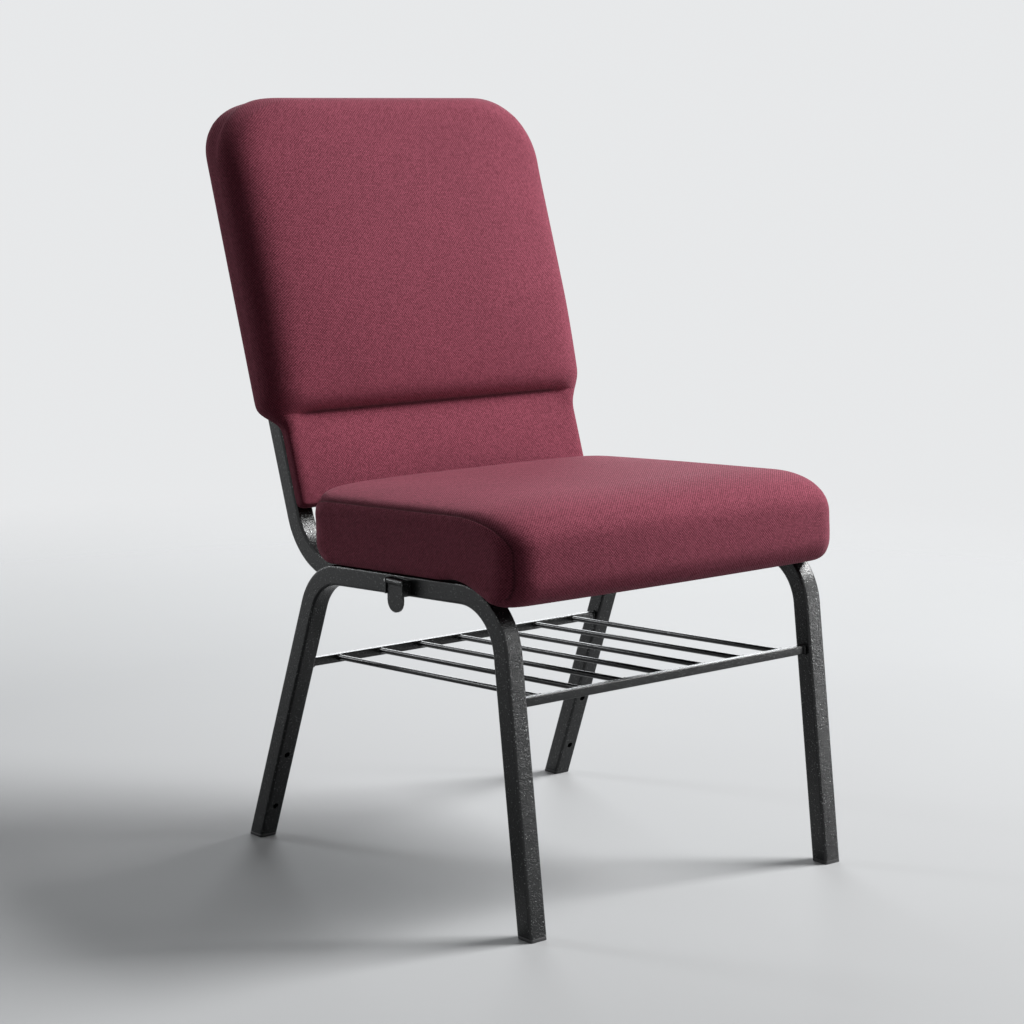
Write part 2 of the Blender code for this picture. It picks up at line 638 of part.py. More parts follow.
def seat_parts(seat, rails):
    """Board, foam, sewn cover, dust cloth, and the screws and tee nuts that hold the seat to its rails."""
    board_low = GAP + DUST_COVER + GAP + COVER + GAP
    board_high = board_low + BOARD
    board = slab("seat_board", "plywood", seat, board_outline(0), board_low, board_high)
    cover = seat_skin("seat_cover", "fabric", seat, 0)
    cut(cover, seat_skin("seat_cover_inside", "fabric", seat, COVER))
    window = SEAT_WIDTH / 2 - COVER_RETURN
    window_front = SEAT_FRONT + SEAT_TUCK + COVER_RETURN - RAIL_MIDDLE.x
    window_rear = SEAT_REAR - SEAT_BACK_BOTTOM_RADIUS - COVER_RETURN - RAIL_MIDDLE.x
    cut(cover, block("seat_cover_window", "fabric", seat, (-window, window_front, -BOARD),
                     (window, window_rear, board_low)))
    foam = seat_skin("seat_foam", "foam", seat, COVER + FOAM_EASE)
    cut(foam, slab("seat_foam_seat", "foam", seat, board_outline(GAP), -BOARD, board_high + GAP))
    dust_half = window + DUST_LAP
    dust = rounded(-dust_half, dust_half, window_front - DUST_LAP, window_rear + DUST_LAP,
                   [BOARD_CORNER] * 4, SEAT_STEPS)
    dust_cover = slab("seat_dust_cover", "dust_cloth", seat, dust, GAP, GAP + DUST_COVER)
    number = 0
    for depth, rail in rails:
        for x in (-SCREW_ACROSS / 2, SCREW_ACROSS / 2):
            number += 1
            place = (x, depth, 0)
            hole = turned(f"seat_screw_hole_{number}", "nylon", seat, place,
                          rod_profile(SCREW_CLEARANCE, -2 * TUBE, board_low - GAP))
            for drilled in (rail, dust_cover, cover):
                cut(drilled, hole)
            seat_screw(seat, number, place, board_high)
            tee_nut(seat, board, number, place, board_low, board_high)


def seat_screw(seat, number, place, board_high):
    """A pan head screw up through the rail into the tee nut."""
    head = -TUBE - GAP
    turned(f"seat_screw_{number}", "zinc", seat, place,
           ((0, head - SCREW_HEAD_HEIGHT), (SCREW_HEAD / 2, head - SCREW_HEAD_HEIGHT),
            (SCREW_HEAD / 2, head), (SCREW_DIAMETER / 2, head),
            (SCREW_DIAMETER / 2, board_high - NUT_FLANGE_HEIGHT), (0, board_high - NUT_FLANGE_HEIGHT)))


def tee_nut(seat, board, number, place, board_low, board_high):
    """A tee nut let into the board from above, and its stepped hole."""
    flange_low = board_high - NUT_FLANGE_HEIGHT - GAP
    flange_high = board_high - GAP
    bore = SCREW_DIAMETER / 2 + GAP
    barrel = NUT_BARREL / 2
    flange = NUT_FLANGE / 2
    turned(f"seat_tee_nut_{number}", "zinc", seat, place,
           ((bore, flange_high - NUT_LENGTH), (barrel, flange_high - NUT_LENGTH), (barrel, flange_low),
            (flange, flange_low), (flange, flange_high), (bore, flange_high)))
    cut(board, turned(f"seat_nut_hole_{number}", "nylon", seat, place,
                      ((0, board_low - GAP), (barrel + GAP, board_low - GAP),
                       (barrel + GAP, flange_low - GAP), (flange + GAP, flange_low - GAP),
                       (flange + GAP, board_high + GAP), (0, board_high + GAP))))


def round_layers(front, rear, front_round, rear_round, crown, plateau):
    """Insets, depths and shares of the way forward of a cushion with a crowned front and rounded edges."""
    layers = [(plateau, front - crown), ((plateau + front_round) / 2, front - crown * CROWN_SHARE)]
    layers += [(front_round * (1 - math.sin(a)), front + front_round * (1 - math.cos(a)))
               for a in (math.radians(90 * step / FRONT_STEPS) for step in range(FRONT_STEPS + 1))]
    layers += [(rear_round * (1 - math.cos(a)), rear - rear_round * (1 - math.sin(a)))
               for a in (math.radians(90 * step / REAR_STEPS) for step in range(REAR_STEPS + 1))]
    return [(inset, y, (rear - y) / (rear - front)) for inset, y in layers]


def back_skin(name, finish, parent, inset):
    """The closed form of the upper back cushion, drawn in by an inset. Its front recedes to the crease."""
    outlines = []
    for more, y, forward in round_layers(inset - BACK_FRONT, BACK_REAR - inset, BACK_FRONT_ROUND - inset,
                                         BACK_REAR_ROUND - inset, BACK_CROWN, BACK_PLATEAU):
        drawn_in = inset + more
        half = BACK_WIDTH / 2 - drawn_in
        corner = BACK_REAR_CORNER + (BACK_CORNER - BACK_REAR_CORNER) * min(forward, 1)
        top = max(corner - drawn_in, BACK_LOW_CORNER)
        low = max(BACK_LOW_CORNER - drawn_in, BACK_LOW_CORNER / 4)
        outline = rounded(-half, half, BACK_BOTTOM + drawn_in, BACK_TOP - drawn_in, (top, top, low, low),
                          BACK_STEPS)
        knee = BACK_BOTTOM + BACK_PLATEAU + BACK_LOW_CORNER
        outline.insert(2 * (BACK_STEPS + 1), (-half, knee))
        outline.append((half, knee))
        outlines.append([(x, y + BACK_TUCK * forward * max(1 - (z - BACK_BOTTOM) / BACK_PLATEAU, 0), z)
                         for x, z in outline])
    return loft(name, finish, parent, outlines)


def lumbar_skin(name, finish, parent, inset, top):
    """The closed outer form of the lumbar cushion, drawn in by an inset, up to a top."""
    outlines = []
    for more, y, _ in round_layers(inset - LUMBAR_FRONT, UPRIGHT_FACE - inset, LUMBAR_ROUND - inset,
                                   COVER + GAP, LUMBAR_CROWN, LUMBAR_FRONT):
        drawn_in = inset + more
        half = LUMBAR_WIDTH / 2 - drawn_in
        corner = max(LUMBAR_ROUND - drawn_in, LUMBAR_ROUND / 4)
        outline = rounded(-half, half, LUMBAR_BOTTOM + drawn_in, top, [corner / 4] * 2 + [corner] * 2,
                          LUMBAR_STEPS)
        outlines.append([(x, y, z) for x, z in outline])
    return loft(name, finish, parent, outlines)


def back_parts(back):
    """Board, foams, sewn covers, rear panel and the screws that hold the back to its uprights."""
    board_rear = UPRIGHT_FACE - COVER - GAP
    board_front = board_rear - BACK_BOARD
    half = BACK_BOARD_WIDTH / 2
    board_low = LUMBAR_BOTTOM + COVER + 2 * GAP
    board_top = BACK_TOP - BACK_BOARD_MARGIN
    outline = rounded(-half, half, board_low, board_top, [BACK_BOARD_CORNER] * 2 + [LUMBAR_ROUND] * 2,
                      BACK_STEPS)
    board = panel("back_board", "plywood", back, outline, board_front, board_rear)
    tube_out = UPRIGHT_X + toed(back_depth(UPRIGHT_TOP)) + TUBE / 2 + GAP + TOE_EASE
    room_top = max(UPRIGHT_TOP + PLUG_FLANGE, board_top) + 2 * GAP
    room_half = max(tube_out, half + GAP)
    room_low = (-room_half, board_front - GAP, 0)
    cover = back_skin("back_cover", "fabric", back, 0)
    cut(cover, back_skin("back_cover_inside", "fabric", back, COVER))
    mouth_rear = TUBE / 2 + GAP + BACK_SCREW_HEAD_HEIGHT
    cut(cover, block("back_cover_mouth", "fabric", back, room_low,
                     (room_half, mouth_rear, BACK_BOTTOM + 2 * BACK_LOW_CORNER)))
    foam = back_skin("back_foam", "foam", back, COVER + FOAM_EASE)
    cut(foam, block("back_foam_room", "foam", back, room_low, (room_half, BACK_FRONT, room_top)))
    lumbar_top = BACK_BOTTOM - GAP
    lumbar = lumbar_skin("lumbar_cover", "fabric", back, 0, lumbar_top)
    cut(lumbar, lumbar_skin("lumbar_cover_inside", "fabric", back, COVER, BACK_TOP))
    lumbar_foam = lumbar_skin("lumbar_foam", "foam", back, COVER + FOAM_EASE, lumbar_top)
    cut(lumbar_foam, block("lumbar_foam_room", "foam", back, (-BACK_WIDTH, board_front - GAP, 0),
                           (BACK_WIDTH, BACK_FRONT, BACK_TOP)))
    inner = SPAN_HALF + toed(back_depth(BACK_BOTTOM))
    rear_top = UPRIGHT_TOP - TOP_RAIL_DROP - TUBE / 2 - GAP
    rear_outline = rounded(-inner, inner, BACK_BOTTOM + COVER, rear_top, [TUBE_CORNER] * 4)
    panel("back_rear_panel", "plywood", back, rear_outline, TUBE / 2 - REAR_PANEL, TUBE / 2)
    for side in SIDES:
        for row, height in zip(("low", "high"), BACK_SCREW_HEIGHTS):
            back_screw(back, [board, lumbar], f"{row}_{side}", back_screw_place(side, height), board_rear)


def back_screw(back, drilled, label, place, board_rear):
    """A wood screw from behind, through the upright into the back board."""
    head = TUBE / 2 + GAP
    shank = BACK_SCREW / 2
    tip = board_rear - BACK_SCREW_GRIP
    turned("back_screw_" + label, "zinc", back, place,
           ((0, tip), (shank, tip), (shank, head), (BACK_SCREW_HEAD / 2, head),
            (BACK_SCREW_HEAD / 2, head + BACK_SCREW_HEAD_HEIGHT), (0, head + BACK_SCREW_HEAD_HEIGHT)),
           ALONG_Y)
    pilot = turned("back_pilot_" + label, "nylon", back, place,
                   rod_profile(BACK_SCREW + 2 * GAP, tip - GAP, 0), ALONG_Y)
    for target in drilled:
        cut(target, pilot)


def build():
    """Makes every piece of the chair in its place."""
    clear_scene()
    chair = empty("chair", None, (0, -(FRONTMOST + BACK_REARMOST) / 2, 0))
    seat = empty("seat", chair, (0, *RAIL_MIDDLE), -SEAT_SLOPE)
    back = empty("back", chair, (0, *UPRIGHT_START), -RECLINE)
    planes = {side: side_plane(chair, side) for side in SIDES}
    rails = frame_parts(planes, seat, back)
    book_rack(chair)
    gang_parts(planes)
    seat_parts(seat, rails)
    back_parts(back)


build()
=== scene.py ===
"""Dresses the stacking auditorium chair: bent tube frame, book rack, ganging hardware, tweed cushions and a
plain studio. Metres, +Z up, front to -Y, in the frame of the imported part."""

import math

import bmesh
import bpy
import numpy as np
from mathutils import Matrix, Vector, noise


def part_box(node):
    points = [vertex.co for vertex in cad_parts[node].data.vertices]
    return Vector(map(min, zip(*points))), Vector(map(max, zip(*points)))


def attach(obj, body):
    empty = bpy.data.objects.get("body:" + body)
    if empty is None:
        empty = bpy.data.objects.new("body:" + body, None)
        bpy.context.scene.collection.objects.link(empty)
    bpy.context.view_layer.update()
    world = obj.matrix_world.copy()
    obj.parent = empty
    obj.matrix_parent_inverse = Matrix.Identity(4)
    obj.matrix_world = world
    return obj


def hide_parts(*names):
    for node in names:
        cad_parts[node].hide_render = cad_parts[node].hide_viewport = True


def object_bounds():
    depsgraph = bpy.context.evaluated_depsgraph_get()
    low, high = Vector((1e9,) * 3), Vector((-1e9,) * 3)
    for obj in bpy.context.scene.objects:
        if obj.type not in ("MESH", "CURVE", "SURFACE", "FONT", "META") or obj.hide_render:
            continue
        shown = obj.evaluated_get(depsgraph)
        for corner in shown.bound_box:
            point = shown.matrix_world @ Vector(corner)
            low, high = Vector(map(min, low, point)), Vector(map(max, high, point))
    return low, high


bl_info = {
    "name": "Hall Chair Dressing",
    "version": (1, 0, 0),
    "blender": (4, 5, 0),
    "location": "View3D > Sidebar > Hall Chair",
    "description": "Builds the visible pieces of a stacking auditorium chair round its packed frame",
    "category": "Object",
}

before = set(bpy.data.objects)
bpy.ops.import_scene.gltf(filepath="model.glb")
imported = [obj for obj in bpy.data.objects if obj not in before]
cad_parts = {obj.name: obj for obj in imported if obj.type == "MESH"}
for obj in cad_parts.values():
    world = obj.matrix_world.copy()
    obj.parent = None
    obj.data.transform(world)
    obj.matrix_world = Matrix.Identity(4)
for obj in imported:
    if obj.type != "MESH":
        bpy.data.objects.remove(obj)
CAD_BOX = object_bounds()
SIDES = {"left": -1, "right": 1}
DIAGONAL = math.sin(math.radians(45))
SHORT_OF_ROUND = 1 - DIAGONAL
QUARTER = math.radians(90)
MERGE = 1e-5
UP = Vector((0, 0, 1))
AHEAD = Vector((0, -1, 0))


# Properties

def length(name, description, default):
    """A length that a user may change."""
    return bpy.props.FloatProperty(name=name, description=description, default=default, unit="LENGTH",
                                   precision=4)


def angle(name, description, degrees):
    """An angle that a user may change, given here in degrees."""
    return bpy.props.FloatProperty(name=name, description=description, default=math.radians(degrees),
                                   unit="ROTATION")


def amount(name, description, default):
    """A plain number that a user may change."""
    return bpy.props.FloatProperty(name=name, description=description, default=default)


def count(name, description, default):
    """A whole number that a user may change."""
    return bpy.props.IntProperty(name=name, description=description, default=default, min=1)


def colour(name, description, default):
    """A linear colour that a user may change."""
    return bpy.props.FloatVectorProperty(name=name, description=description, default=default, size=3,
                                         min=0, max=1, subtype="COLOR")


class HallChairFrame(bpy.types.PropertyGroup):
    """Sizes of the welded tube frame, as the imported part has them."""
    tube: length("Tube", "Outside width of the square tube", 0.0222)
    wall: length("Wall", "Wall of the tube", 0.0016)
    corner: length("Corner", "Outside radius of the tube's edges", 0.003)
    corner_steps: count("Corner steps", "Facets round each edge of the tube", 5)
    bend: length("Bend", "Radius of the side frames' bends at the tube's axis", 0.062)
    bend_steps: count("Bend steps", "Facets along each bend", 28)
    width: length("Width", "Width over the side frames at the middle of the rails", 0.453)
    foot_spread: length("Foot spread", "Depth over the front and rear feet", 0.503)
    toe_out: angle("Toe out", "How far each side turns outward to the rear", 1.1)
    front_lean: angle("Front lean", "Lean of the front legs", 7.6)
    rear_lean: angle("Rear lean", "Lean of the rear legs", 20.7)
    slope: angle("Seat slope", "Fall of the seat rails to the rear", 3.3)
    rail_top: length("Rail top", "Height of the rails' top at their middle", 0.3436)
    sole: length("Sole", "Thickness of the glides under the cut tubes", 0.004)
    gap: length("Gap", "Clearance between pieces that touch", 0.0003)
    recline: angle("Recline", "Lean of the back", 18.7)
    upright_bend: length("Upright bend", "Radius of the uprights' bends at the tube's axis", 0.074)
    upright_foot: length("Upright foot", "Depth where an upright's axis meets the rail's", 0.421)
    upright_top: length("Upright top", "Length of an upright above that point", 0.488)
    run_front: length("Run front", "Depth where the run under the seat starts", 0.114)
    rail_front: length("Front rail", "Depth of the front cross rail", 0.135)
    rail_rear: length("Rear rail", "Depth of the rear cross rail", 0.330)
    hole: length("Leg hole", "Diameter of the holes in the rear legs", 0.007)
    hole_low: length("Low hole", "Height of the lower hole in a rear leg", 0.043)
    hole_high: length("High hole", "Height of the upper hole in a rear leg", 0.108)


class HallChairRack(bpy.types.PropertyGroup):
    """Sizes of the book rack."""
    top: length("Top", "Height of the front bar's top", 0.2415)
    bar: length("Bar", "Width of the square bars", 0.0095)
    bar_edge: length("Bar edge", "Round on the bars' edges", 0.0011)
    rod: length("Rod", "Diameter of the rods", 0.006)
    rods: count("Rods", "How many rods lie between the bars", 7)
    pitch: length("Pitch", "Distance between rods", 0.057)
    rise: length("Rise", "How far the rods lie above the bars' middle", 0.001)
    bead: length("Bead", "Size of the weld beads", 0.0022)


class HallChairSeat(bpy.types.PropertyGroup):
    """Sizes of the seat cushion."""
    width: length("Width", "Width over the side panels", 0.464)
    front: length("Front", "Depth of the nose behind the front feet's toes", 0.010)
    rear: length("Rear", "Depth of the rear of the cushion", 0.390)
    bottom: length("Bottom", "Height of the hem above the rails", 0.0014)
    height: length("Height", "Height of the top seams above the rails", 0.0735)
    crown: length("Crown", "Rise of the top panel between its seams", 0.0105)
    swell: length("Swell", "Rise of the top panel between nose and rear", 0.002)
    nose_depth: length("Nose depth", "Depth of the rounded nose", 0.078)
    nose_height: length("Nose height", "Height of the rounded nose", 0.037)
    nose_drop: length("Nose drop", "How far the nose hangs below the rails", 0.0215)
    nose_foot: length("Nose foot", "Radius under the nose", 0.027)
    nose_bow: length("Nose bow", "How far the nose bows forward", 0.005)
    tuck: length("Tuck", "Where the underside turns down to the nose", 0.098)
    tuck_slope: length("Tuck slope", "Depth of that turn", 0.028)
    rear_top: length("Rear top", "Radius of the rear's top edge", 0.024)
    rear_bottom: length("Rear bottom", "Radius of the rear's bottom edge", 0.026)
    front_corner: length("Front corner", "Plan radius of the front corners", 0.034)
    rear_corner: length("Rear corner", "Plan radius of the rear corners", 0.050)
    seam_round: length("Seam round", "Round of the top panel towards its seams", 0.013)
    hem_round: length("Hem round", "Round of the side panels' hems", 0.012)
    under_round: length("Under round", "Round of the nose's lower corners", 0.014)
    corner_blend: length("Corner blend", "Depth over which the corners' pull fades out on the top", 0.060)
    waist: length("Waist", "How far the side panels draw in", 0.002)
    across: count("Across", "Grid steps across the cushion", 78)
    deep: count("Deep", "Grid steps from front to rear", 66)
    high: count("High", "Grid steps up the side panels", 14)
    pressure: amount("Pressure", "Air pressure that fills the cover", 1.6)
    swell_limit: length("Swell limit", "Furthest that the cover swells", 0.006)


class HallChairBack(bpy.types.PropertyGroup):
    """Sizes of the back cushion, along and across the uprights."""
    width: length("Width", "Width of the upper cushion", 0.456)
    lumbar_width: length("Lumbar width", "Width of the lumbar cushion", 0.416)
    front: length("Front", "How far the upper cushion stands before the uprights' axes", 0.049)
    rear: length("Rear", "How far the upper cushion reaches behind the uprights' axes", 0.0158)
    lumbar_front: length("Lumbar front", "How far the lumbar cushion stands before the axes", 0.027)
    lumbar_rear: length("Lumbar rear", "Where the lumbar cushion rests on the uprights", -0.0117)
    bottom: length("Bottom", "Bottom of the lumbar cushion", 0.062)
    crease: length("Crease", "Height of the crease between the two cushions", 0.167)
    top: length("Top", "Top of the upper cushion", 0.534)
    corner: length("Corner", "Radius of the top corners", 0.088)
    rear_corner: length("Rear corner", "Radius of the top corners at the rear", 0.060)
    low_corner: length("Low corner", "Radius of the lumbar cushion's bottom corners", 0.007)
    front_round: length("Front round", "Depth of the upper cushion's round at the sides of its front", 0.030)
    side_roll: length("Side roll", "Width of the upper cushion's round at the sides of its front", 0.044)
    top_round: length("Top round", "Round of the upper cushion's front edge at the top", 0.023)
    top_reach: length("Top reach", "How far below the top the side round narrows to the top round", 0.110)
    rear_round: length("Rear round", "Round of the upper cushion's rear edge", 0.022)
    lumbar_round: length("Lumbar round", "Round of the lumbar cushion's edges", 0.007)
    crown: length("Crown", "Rise of the upper cushion's middle", 0.0140)
    lumbar_crown: length("Lumbar crown", "Rise of the lumbar cushion's middle", 0.003)
    tuck: length("Tuck", "How far the upper front recedes towards the crease", 0.008)
    tuck_reach: length("Tuck reach", "Height over which it recedes", 0.120)
    curl: length("Curl", "Height of the rounded lower edge of the upper cushion", 0.024)
    shoulder: length("Shoulder", "Half height of the curve from the upper to the lumbar width", 0.020)
    side_blend: length("Side blend", "How far in from the sides the crease runs out", 0.030)
    step_end: length("Step end", "Half width of the step under the rear panel", 0.195)
    across: count("Across", "Grid steps across the cushion", 76)
    low_rows: count("Low rows", "Grid steps from the bottom to the crease", 20)
    high_rows: count("High rows", "Grid steps from the crease to the top", 60)
    deep: count("Deep", "Grid steps from front to rear", 12)
    pressure: amount("Pressure", "Air pressure that fills the cover", 1.6)
    swell_limit: length("Swell limit", "Furthest that the cover swells", 0.005)


class HallChairFinish(bpy.types.PropertyGroup):
    """Colours and grain of the finishes."""
    warp: colour("Warp", "Darker yarn of the tweed", (0.120, 0.014, 0.028))
    weft: colour("Weft", "Lighter yarn of the tweed", (0.372, 0.083, 0.128))
    yarn: length("Yarn", "Pitch of the yarns", 0.00158)
    coat: colour("Powder coat", "Body colour of the powder coat", (0.0070, 0.0078, 0.0082))
    fleck: colour("Fleck", "Metallic flecks in the powder coat", (0.200, 0.210, 0.205))
    nylon: colour("Nylon", "Glides and plugs", (0.016, 0.016, 0.017))
    zinc: colour("Zinc", "Plated screws, pin and staples", (0.560, 0.560, 0.540))
    dust_cloth: colour("Dust cloth", "Spun cloth under the seat", (0.018, 0.018, 0.020))
    plywood: colour("Plywood", "Seat and back boards", (0.470, 0.320, 0.180))


class HallChairStage(bpy.types.PropertyGroup):
    """The studio round the chair."""
    floor: colour("Floor", "Pale floor", (0.46, 0.467, 0.473))
    floor_reach: length("Floor reach", "Where the floor has faded into the surround", 2.6)
    wall: colour("Wall", "Pale surroundings that the camera sees", (0.80, 0.81, 0.82))
    ambient: amount("Ambient", "Light from all round", 0.065)
    lens: amount("Lens", "Focal length in millimetres on a 36 mm sensor", 88.22)
    camera: bpy.props.FloatVectorProperty(name="Camera", description="Where the camera stands",
                                          default=(-1.7464, -2.1700, 0.8340), subtype="TRANSLATION",
                                          unit="LENGTH")
    camera_down: angle("Camera down", "How far the camera looks down", 9.304)
    camera_turn: angle("Camera turn", "How far the camera is turned right of the chair's depth", 38.766)


# The chair's side view

class SideView:
    """The lines of the side view that the tubes, the rack and the cushions follow."""

    def __init__(self, sizes):
        tube = sizes.tube
        self.down = Vector((math.cos(sizes.slope), -math.sin(sizes.slope)))
        off = Vector((math.sin(sizes.slope), math.cos(sizes.slope)))
        self.rail_middle = Vector((sizes.foot_spread / 2, sizes.rail_top))
        self.rail_axis = self.rail_middle - off * tube / 2
        self.front_leg = Vector((math.sin(sizes.front_lean), math.cos(sizes.front_lean)))
        self.rear_leg = Vector((-math.sin(sizes.rear_lean), math.cos(sizes.rear_lean)))
        self.front_foot = Vector((tube / 2 / math.cos(sizes.front_lean), 0))
        self.rear_foot = Vector((sizes.foot_spread - tube / 2 / math.cos(sizes.rear_lean), 0))
        self.upright = Vector((math.sin(sizes.recline), math.cos(sizes.recline)))
        self.upright_start = self.on_rail(sizes.upright_foot)
        self.upright_x = sizes.width / 2 - tube - sizes.gap - tube / 2
        self.rail_x = (sizes.width - tube) / 2
        swing = sizes.width / 2 - self.upright_x
        frontmost = self.rail_middle.x * (1 - math.cos(sizes.toe_out)) - swing * math.sin(sizes.toe_out)
        self.shift = CAD_BOX[0].y - frontmost
        self.toe_out = sizes.toe_out
        self.root = Matrix.Translation((0, self.shift, 0))
        self.seat = self.group(self.rail_middle, -sizes.slope)
        self.back = self.group(self.upright_start, -sizes.recline)

    def on_rail(self, depth):
        """The point of the rail's axis at a depth."""
        return self.rail_axis + self.down * ((depth - self.rail_axis.x) / self.down.x)

    def along_seat(self, depth):
        """A depth of the side view, measured along the sloping seat from its middle."""
        return (depth - self.rail_middle.x) / self.down.x

    def group(self, place, tilt):
        """The frame of a tilted group of pieces."""
        return self.root @ Matrix.Translation((0, *place)) @ Matrix.Rotation(tilt, 4, "X")

    def plane(self, side):
        """The frame of one side, turned outward to the rear."""
        pivot = Vector((SIDES[side] * self.upright_x, self.rail_middle.x, 0))
        turn = Matrix.Rotation(-SIDES[side] * self.toe_out, 4, "Z")
        return self.root @ Matrix.Translation(pivot) @ turn @ Matrix.Translation(-pivot)


def meet(point, direction, other_point, other_direction):
    """Where two lines of the side view cross."""
    apart = other_point - point
    across = direction.x * other_direction.y - direction.y * other_direction.x
    return point + direction * ((apart.x * other_direction.y - apart.y * other_direction.x) / across)


# Materials

NOISE = (0.3, 0.7)


def feed(tree, socket, value):
    """Links another node's output to a socket, or sets the socket to a plain value."""
    if isinstance(value, bpy.types.NodeSocket):
        tree.links.new(value, socket)
    else:
        socket.default_value = value


def put(tree, kind, inputs=None, **settings):
    """Adds a node, sets its options, and sets or links its inputs."""
    made = tree.nodes.new(kind)
    for name, value in settings.items():
        setattr(made, name, value)
    for name, value in (inputs or {}).items():
        feed(tree, made.inputs[name], value)
    return made


def math_node(tree, operation, *values):
    """The output of a Math node."""
    return put(tree, "ShaderNodeMath", dict(enumerate(values)), operation=operation).outputs[0]


def blend_colours(tree, share, first, second, blend_type="MIX"):
    """The colour output of a Mix node."""
    inputs = {0: share, 6: first, 7: second}
    return put(tree, "ShaderNodeMix", inputs, data_type="RGBA", blend_type=blend_type).outputs[2]


def toned(tree, plain, shade):
    """A colour made lighter or darker by a shade."""
    grey = put(tree, "ShaderNodeCombineColor", {"Red": shade, "Green": shade, "Blue": shade})
    return blend_colours(tree, 1.0, plain, grey.outputs[0], "MULTIPLY")


def spread(tree, value, low, high, new_low=0.0, new_high=1.0):
    """A value moved from one range to another and clamped there."""
    made = put(tree, "ShaderNodeMapRange", {"Value": value, "From Min": low, "From Max": high,
                                            "To Min": new_low, "To Max": new_high})
    return made.outputs["Result"]


def seen_rays(tree):
    """1 for rays that the camera, a reflection or glass sees, and 0 for the others."""
    path = put(tree, "ShaderNodeLightPath").outputs
    seen = math_node(tree, "MAXIMUM", path["Is Camera Ray"], path["Is Glossy Ray"])
    return math_node(tree, "MAXIMUM", seen, path["Is Transmission Ray"])


def node_group(name, numbers, outputs):
    """A shader node group that takes a vector and some numbers and gives numbers, with its two ends."""
    group = bpy.data.node_groups.new(name, "ShaderNodeTree")
    group.interface.new_socket("Vector", in_out="INPUT", socket_type="NodeSocketVector")
    for socket, default in numbers.items():
        made = group.interface.new_socket(socket, in_out="INPUT", socket_type="NodeSocketFloat")
        made.default_value = default
    for socket in outputs:
        group.interface.new_socket(socket, in_out="OUTPUT", socket_type="NodeSocketFloat")
    return group, put(group, "NodeGroupInput").outputs, put(group, "NodeGroupOutput").inputs


def yarn_weave():
    """Group: a plain weave. Height is its relief, Over tells warp from weft, Tone differs by crossing."""
    if "Yarn weave" in bpy.data.node_groups:
        return bpy.data.node_groups["Yarn weave"]
    group, given, out = node_group("Yarn weave", {"Pitch": 0.001}, ("Height", "Over", "Tone"))
    rate = math_node(group, "DIVIDE", 1.0, given["Pitch"])
    scaled = put(group, "ShaderNodeVectorMath", {0: given["Vector"], "Scale": rate}, operation="SCALE")
    parts = put(group, "ShaderNodeSeparateXYZ", {0: scaled.outputs[0]}).outputs
    across = math_node(group, "FLOOR", parts["X"])
    along = math_node(group, "FLOOR", parts["Y"])
    step = math_node(group, "FLOORED_MODULO", math_node(group, "ADD", across, along), 2.0)
    over = math_node(group, "LESS_THAN", step, 0.5)
    ridges = []
    for part in ("X", "Y"):
        half_turn = math_node(group, "MULTIPLY", math_node(group, "FRACT", parts[part]), math.pi)
        ridges.append(math_node(group, "SINE", half_turn))
    relief = put(group, "ShaderNodeMix", {"Factor": over, "A": ridges[1], "B": ridges[0]}, data_type="FLOAT")
    crossing = put(group, "ShaderNodeCombineXYZ", {"X": across, "Y": along})
    tone = put(group, "ShaderNodeTexWhiteNoise", {"Vector": crossing.outputs[0]}, noise_dimensions="2D")
    for socket, value in (("Height", relief.outputs[0]), ("Over", over), ("Tone", tone.outputs["Value"])):
        group.links.new(value, out[socket])
    return group


def fine_grain():
    """Group: grain of a given size. Height is its relief, Tone a slow change of shade, Flecks are points."""
    if "Fine grain" in bpy.data.node_groups:
        return bpy.data.node_groups["Fine grain"]
    group, given, out = node_group("Fine grain", {"Size": 0.001, "Fleck share": 0.2},
                                   ("Height", "Tone", "Flecks"))
    rate = math_node(group, "DIVIDE", 1.0, given["Size"])
    slow_rate = math_node(group, "MULTIPLY", rate, 0.04)
    cell_rate = math_node(group, "MULTIPLY", rate, 0.9)
    grain = put(group, "ShaderNodeTexNoise", {"Vector": given["Vector"], "Scale": rate, "Detail": 2.0,
                                              "Roughness": 0.55})
    slow = put(group, "ShaderNodeTexNoise", {"Vector": given["Vector"], "Scale": slow_rate, "Detail": 3.0})
    cells = put(group, "ShaderNodeTexVoronoi", {"Vector": given["Vector"], "Scale": cell_rate})
    chosen = put(group, "ShaderNodeTexWhiteNoise", {"Vector": cells.outputs["Color"]}).outputs["Value"]
    rare = math_node(group, "LESS_THAN", chosen, given["Fleck share"])
    round_fleck = spread(group, cells.outputs["Distance"], 0.15, 0.42, 1.0, 0.0)
    flecks = math_node(group, "MULTIPLY", rare, round_fleck)
    for socket, value in (("Height", grain.outputs[0]), ("Tone", slow.outputs[0]), ("Flecks", flecks)):
        group.links.new(value, out[socket])
    return group


def blank_material(name):
    """A new material with its node tree and Principled shader."""
    made = bpy.data.materials.new(name)
    made.use_nodes = True
    return made, made.node_tree, made.node_tree.nodes["Principled BSDF"]


def set_inputs(tree, shader, **values):
    """Sets or links inputs of a shader, named with underscores for spaces."""
    for name, value in values.items():
        feed(tree, shader.inputs[name.replace("_", " ")], value)


def rgba(value):
    """A colour property with full alpha."""
    return (*value, 1.0)


# Shares of the lighter yarn: where it lies on top and where it lies below, and how far these vary.
WEFT_OVER = 0.84
WEFT_UNDER = 0.16
HEATHER = 0.22
CROSSING = 0.28


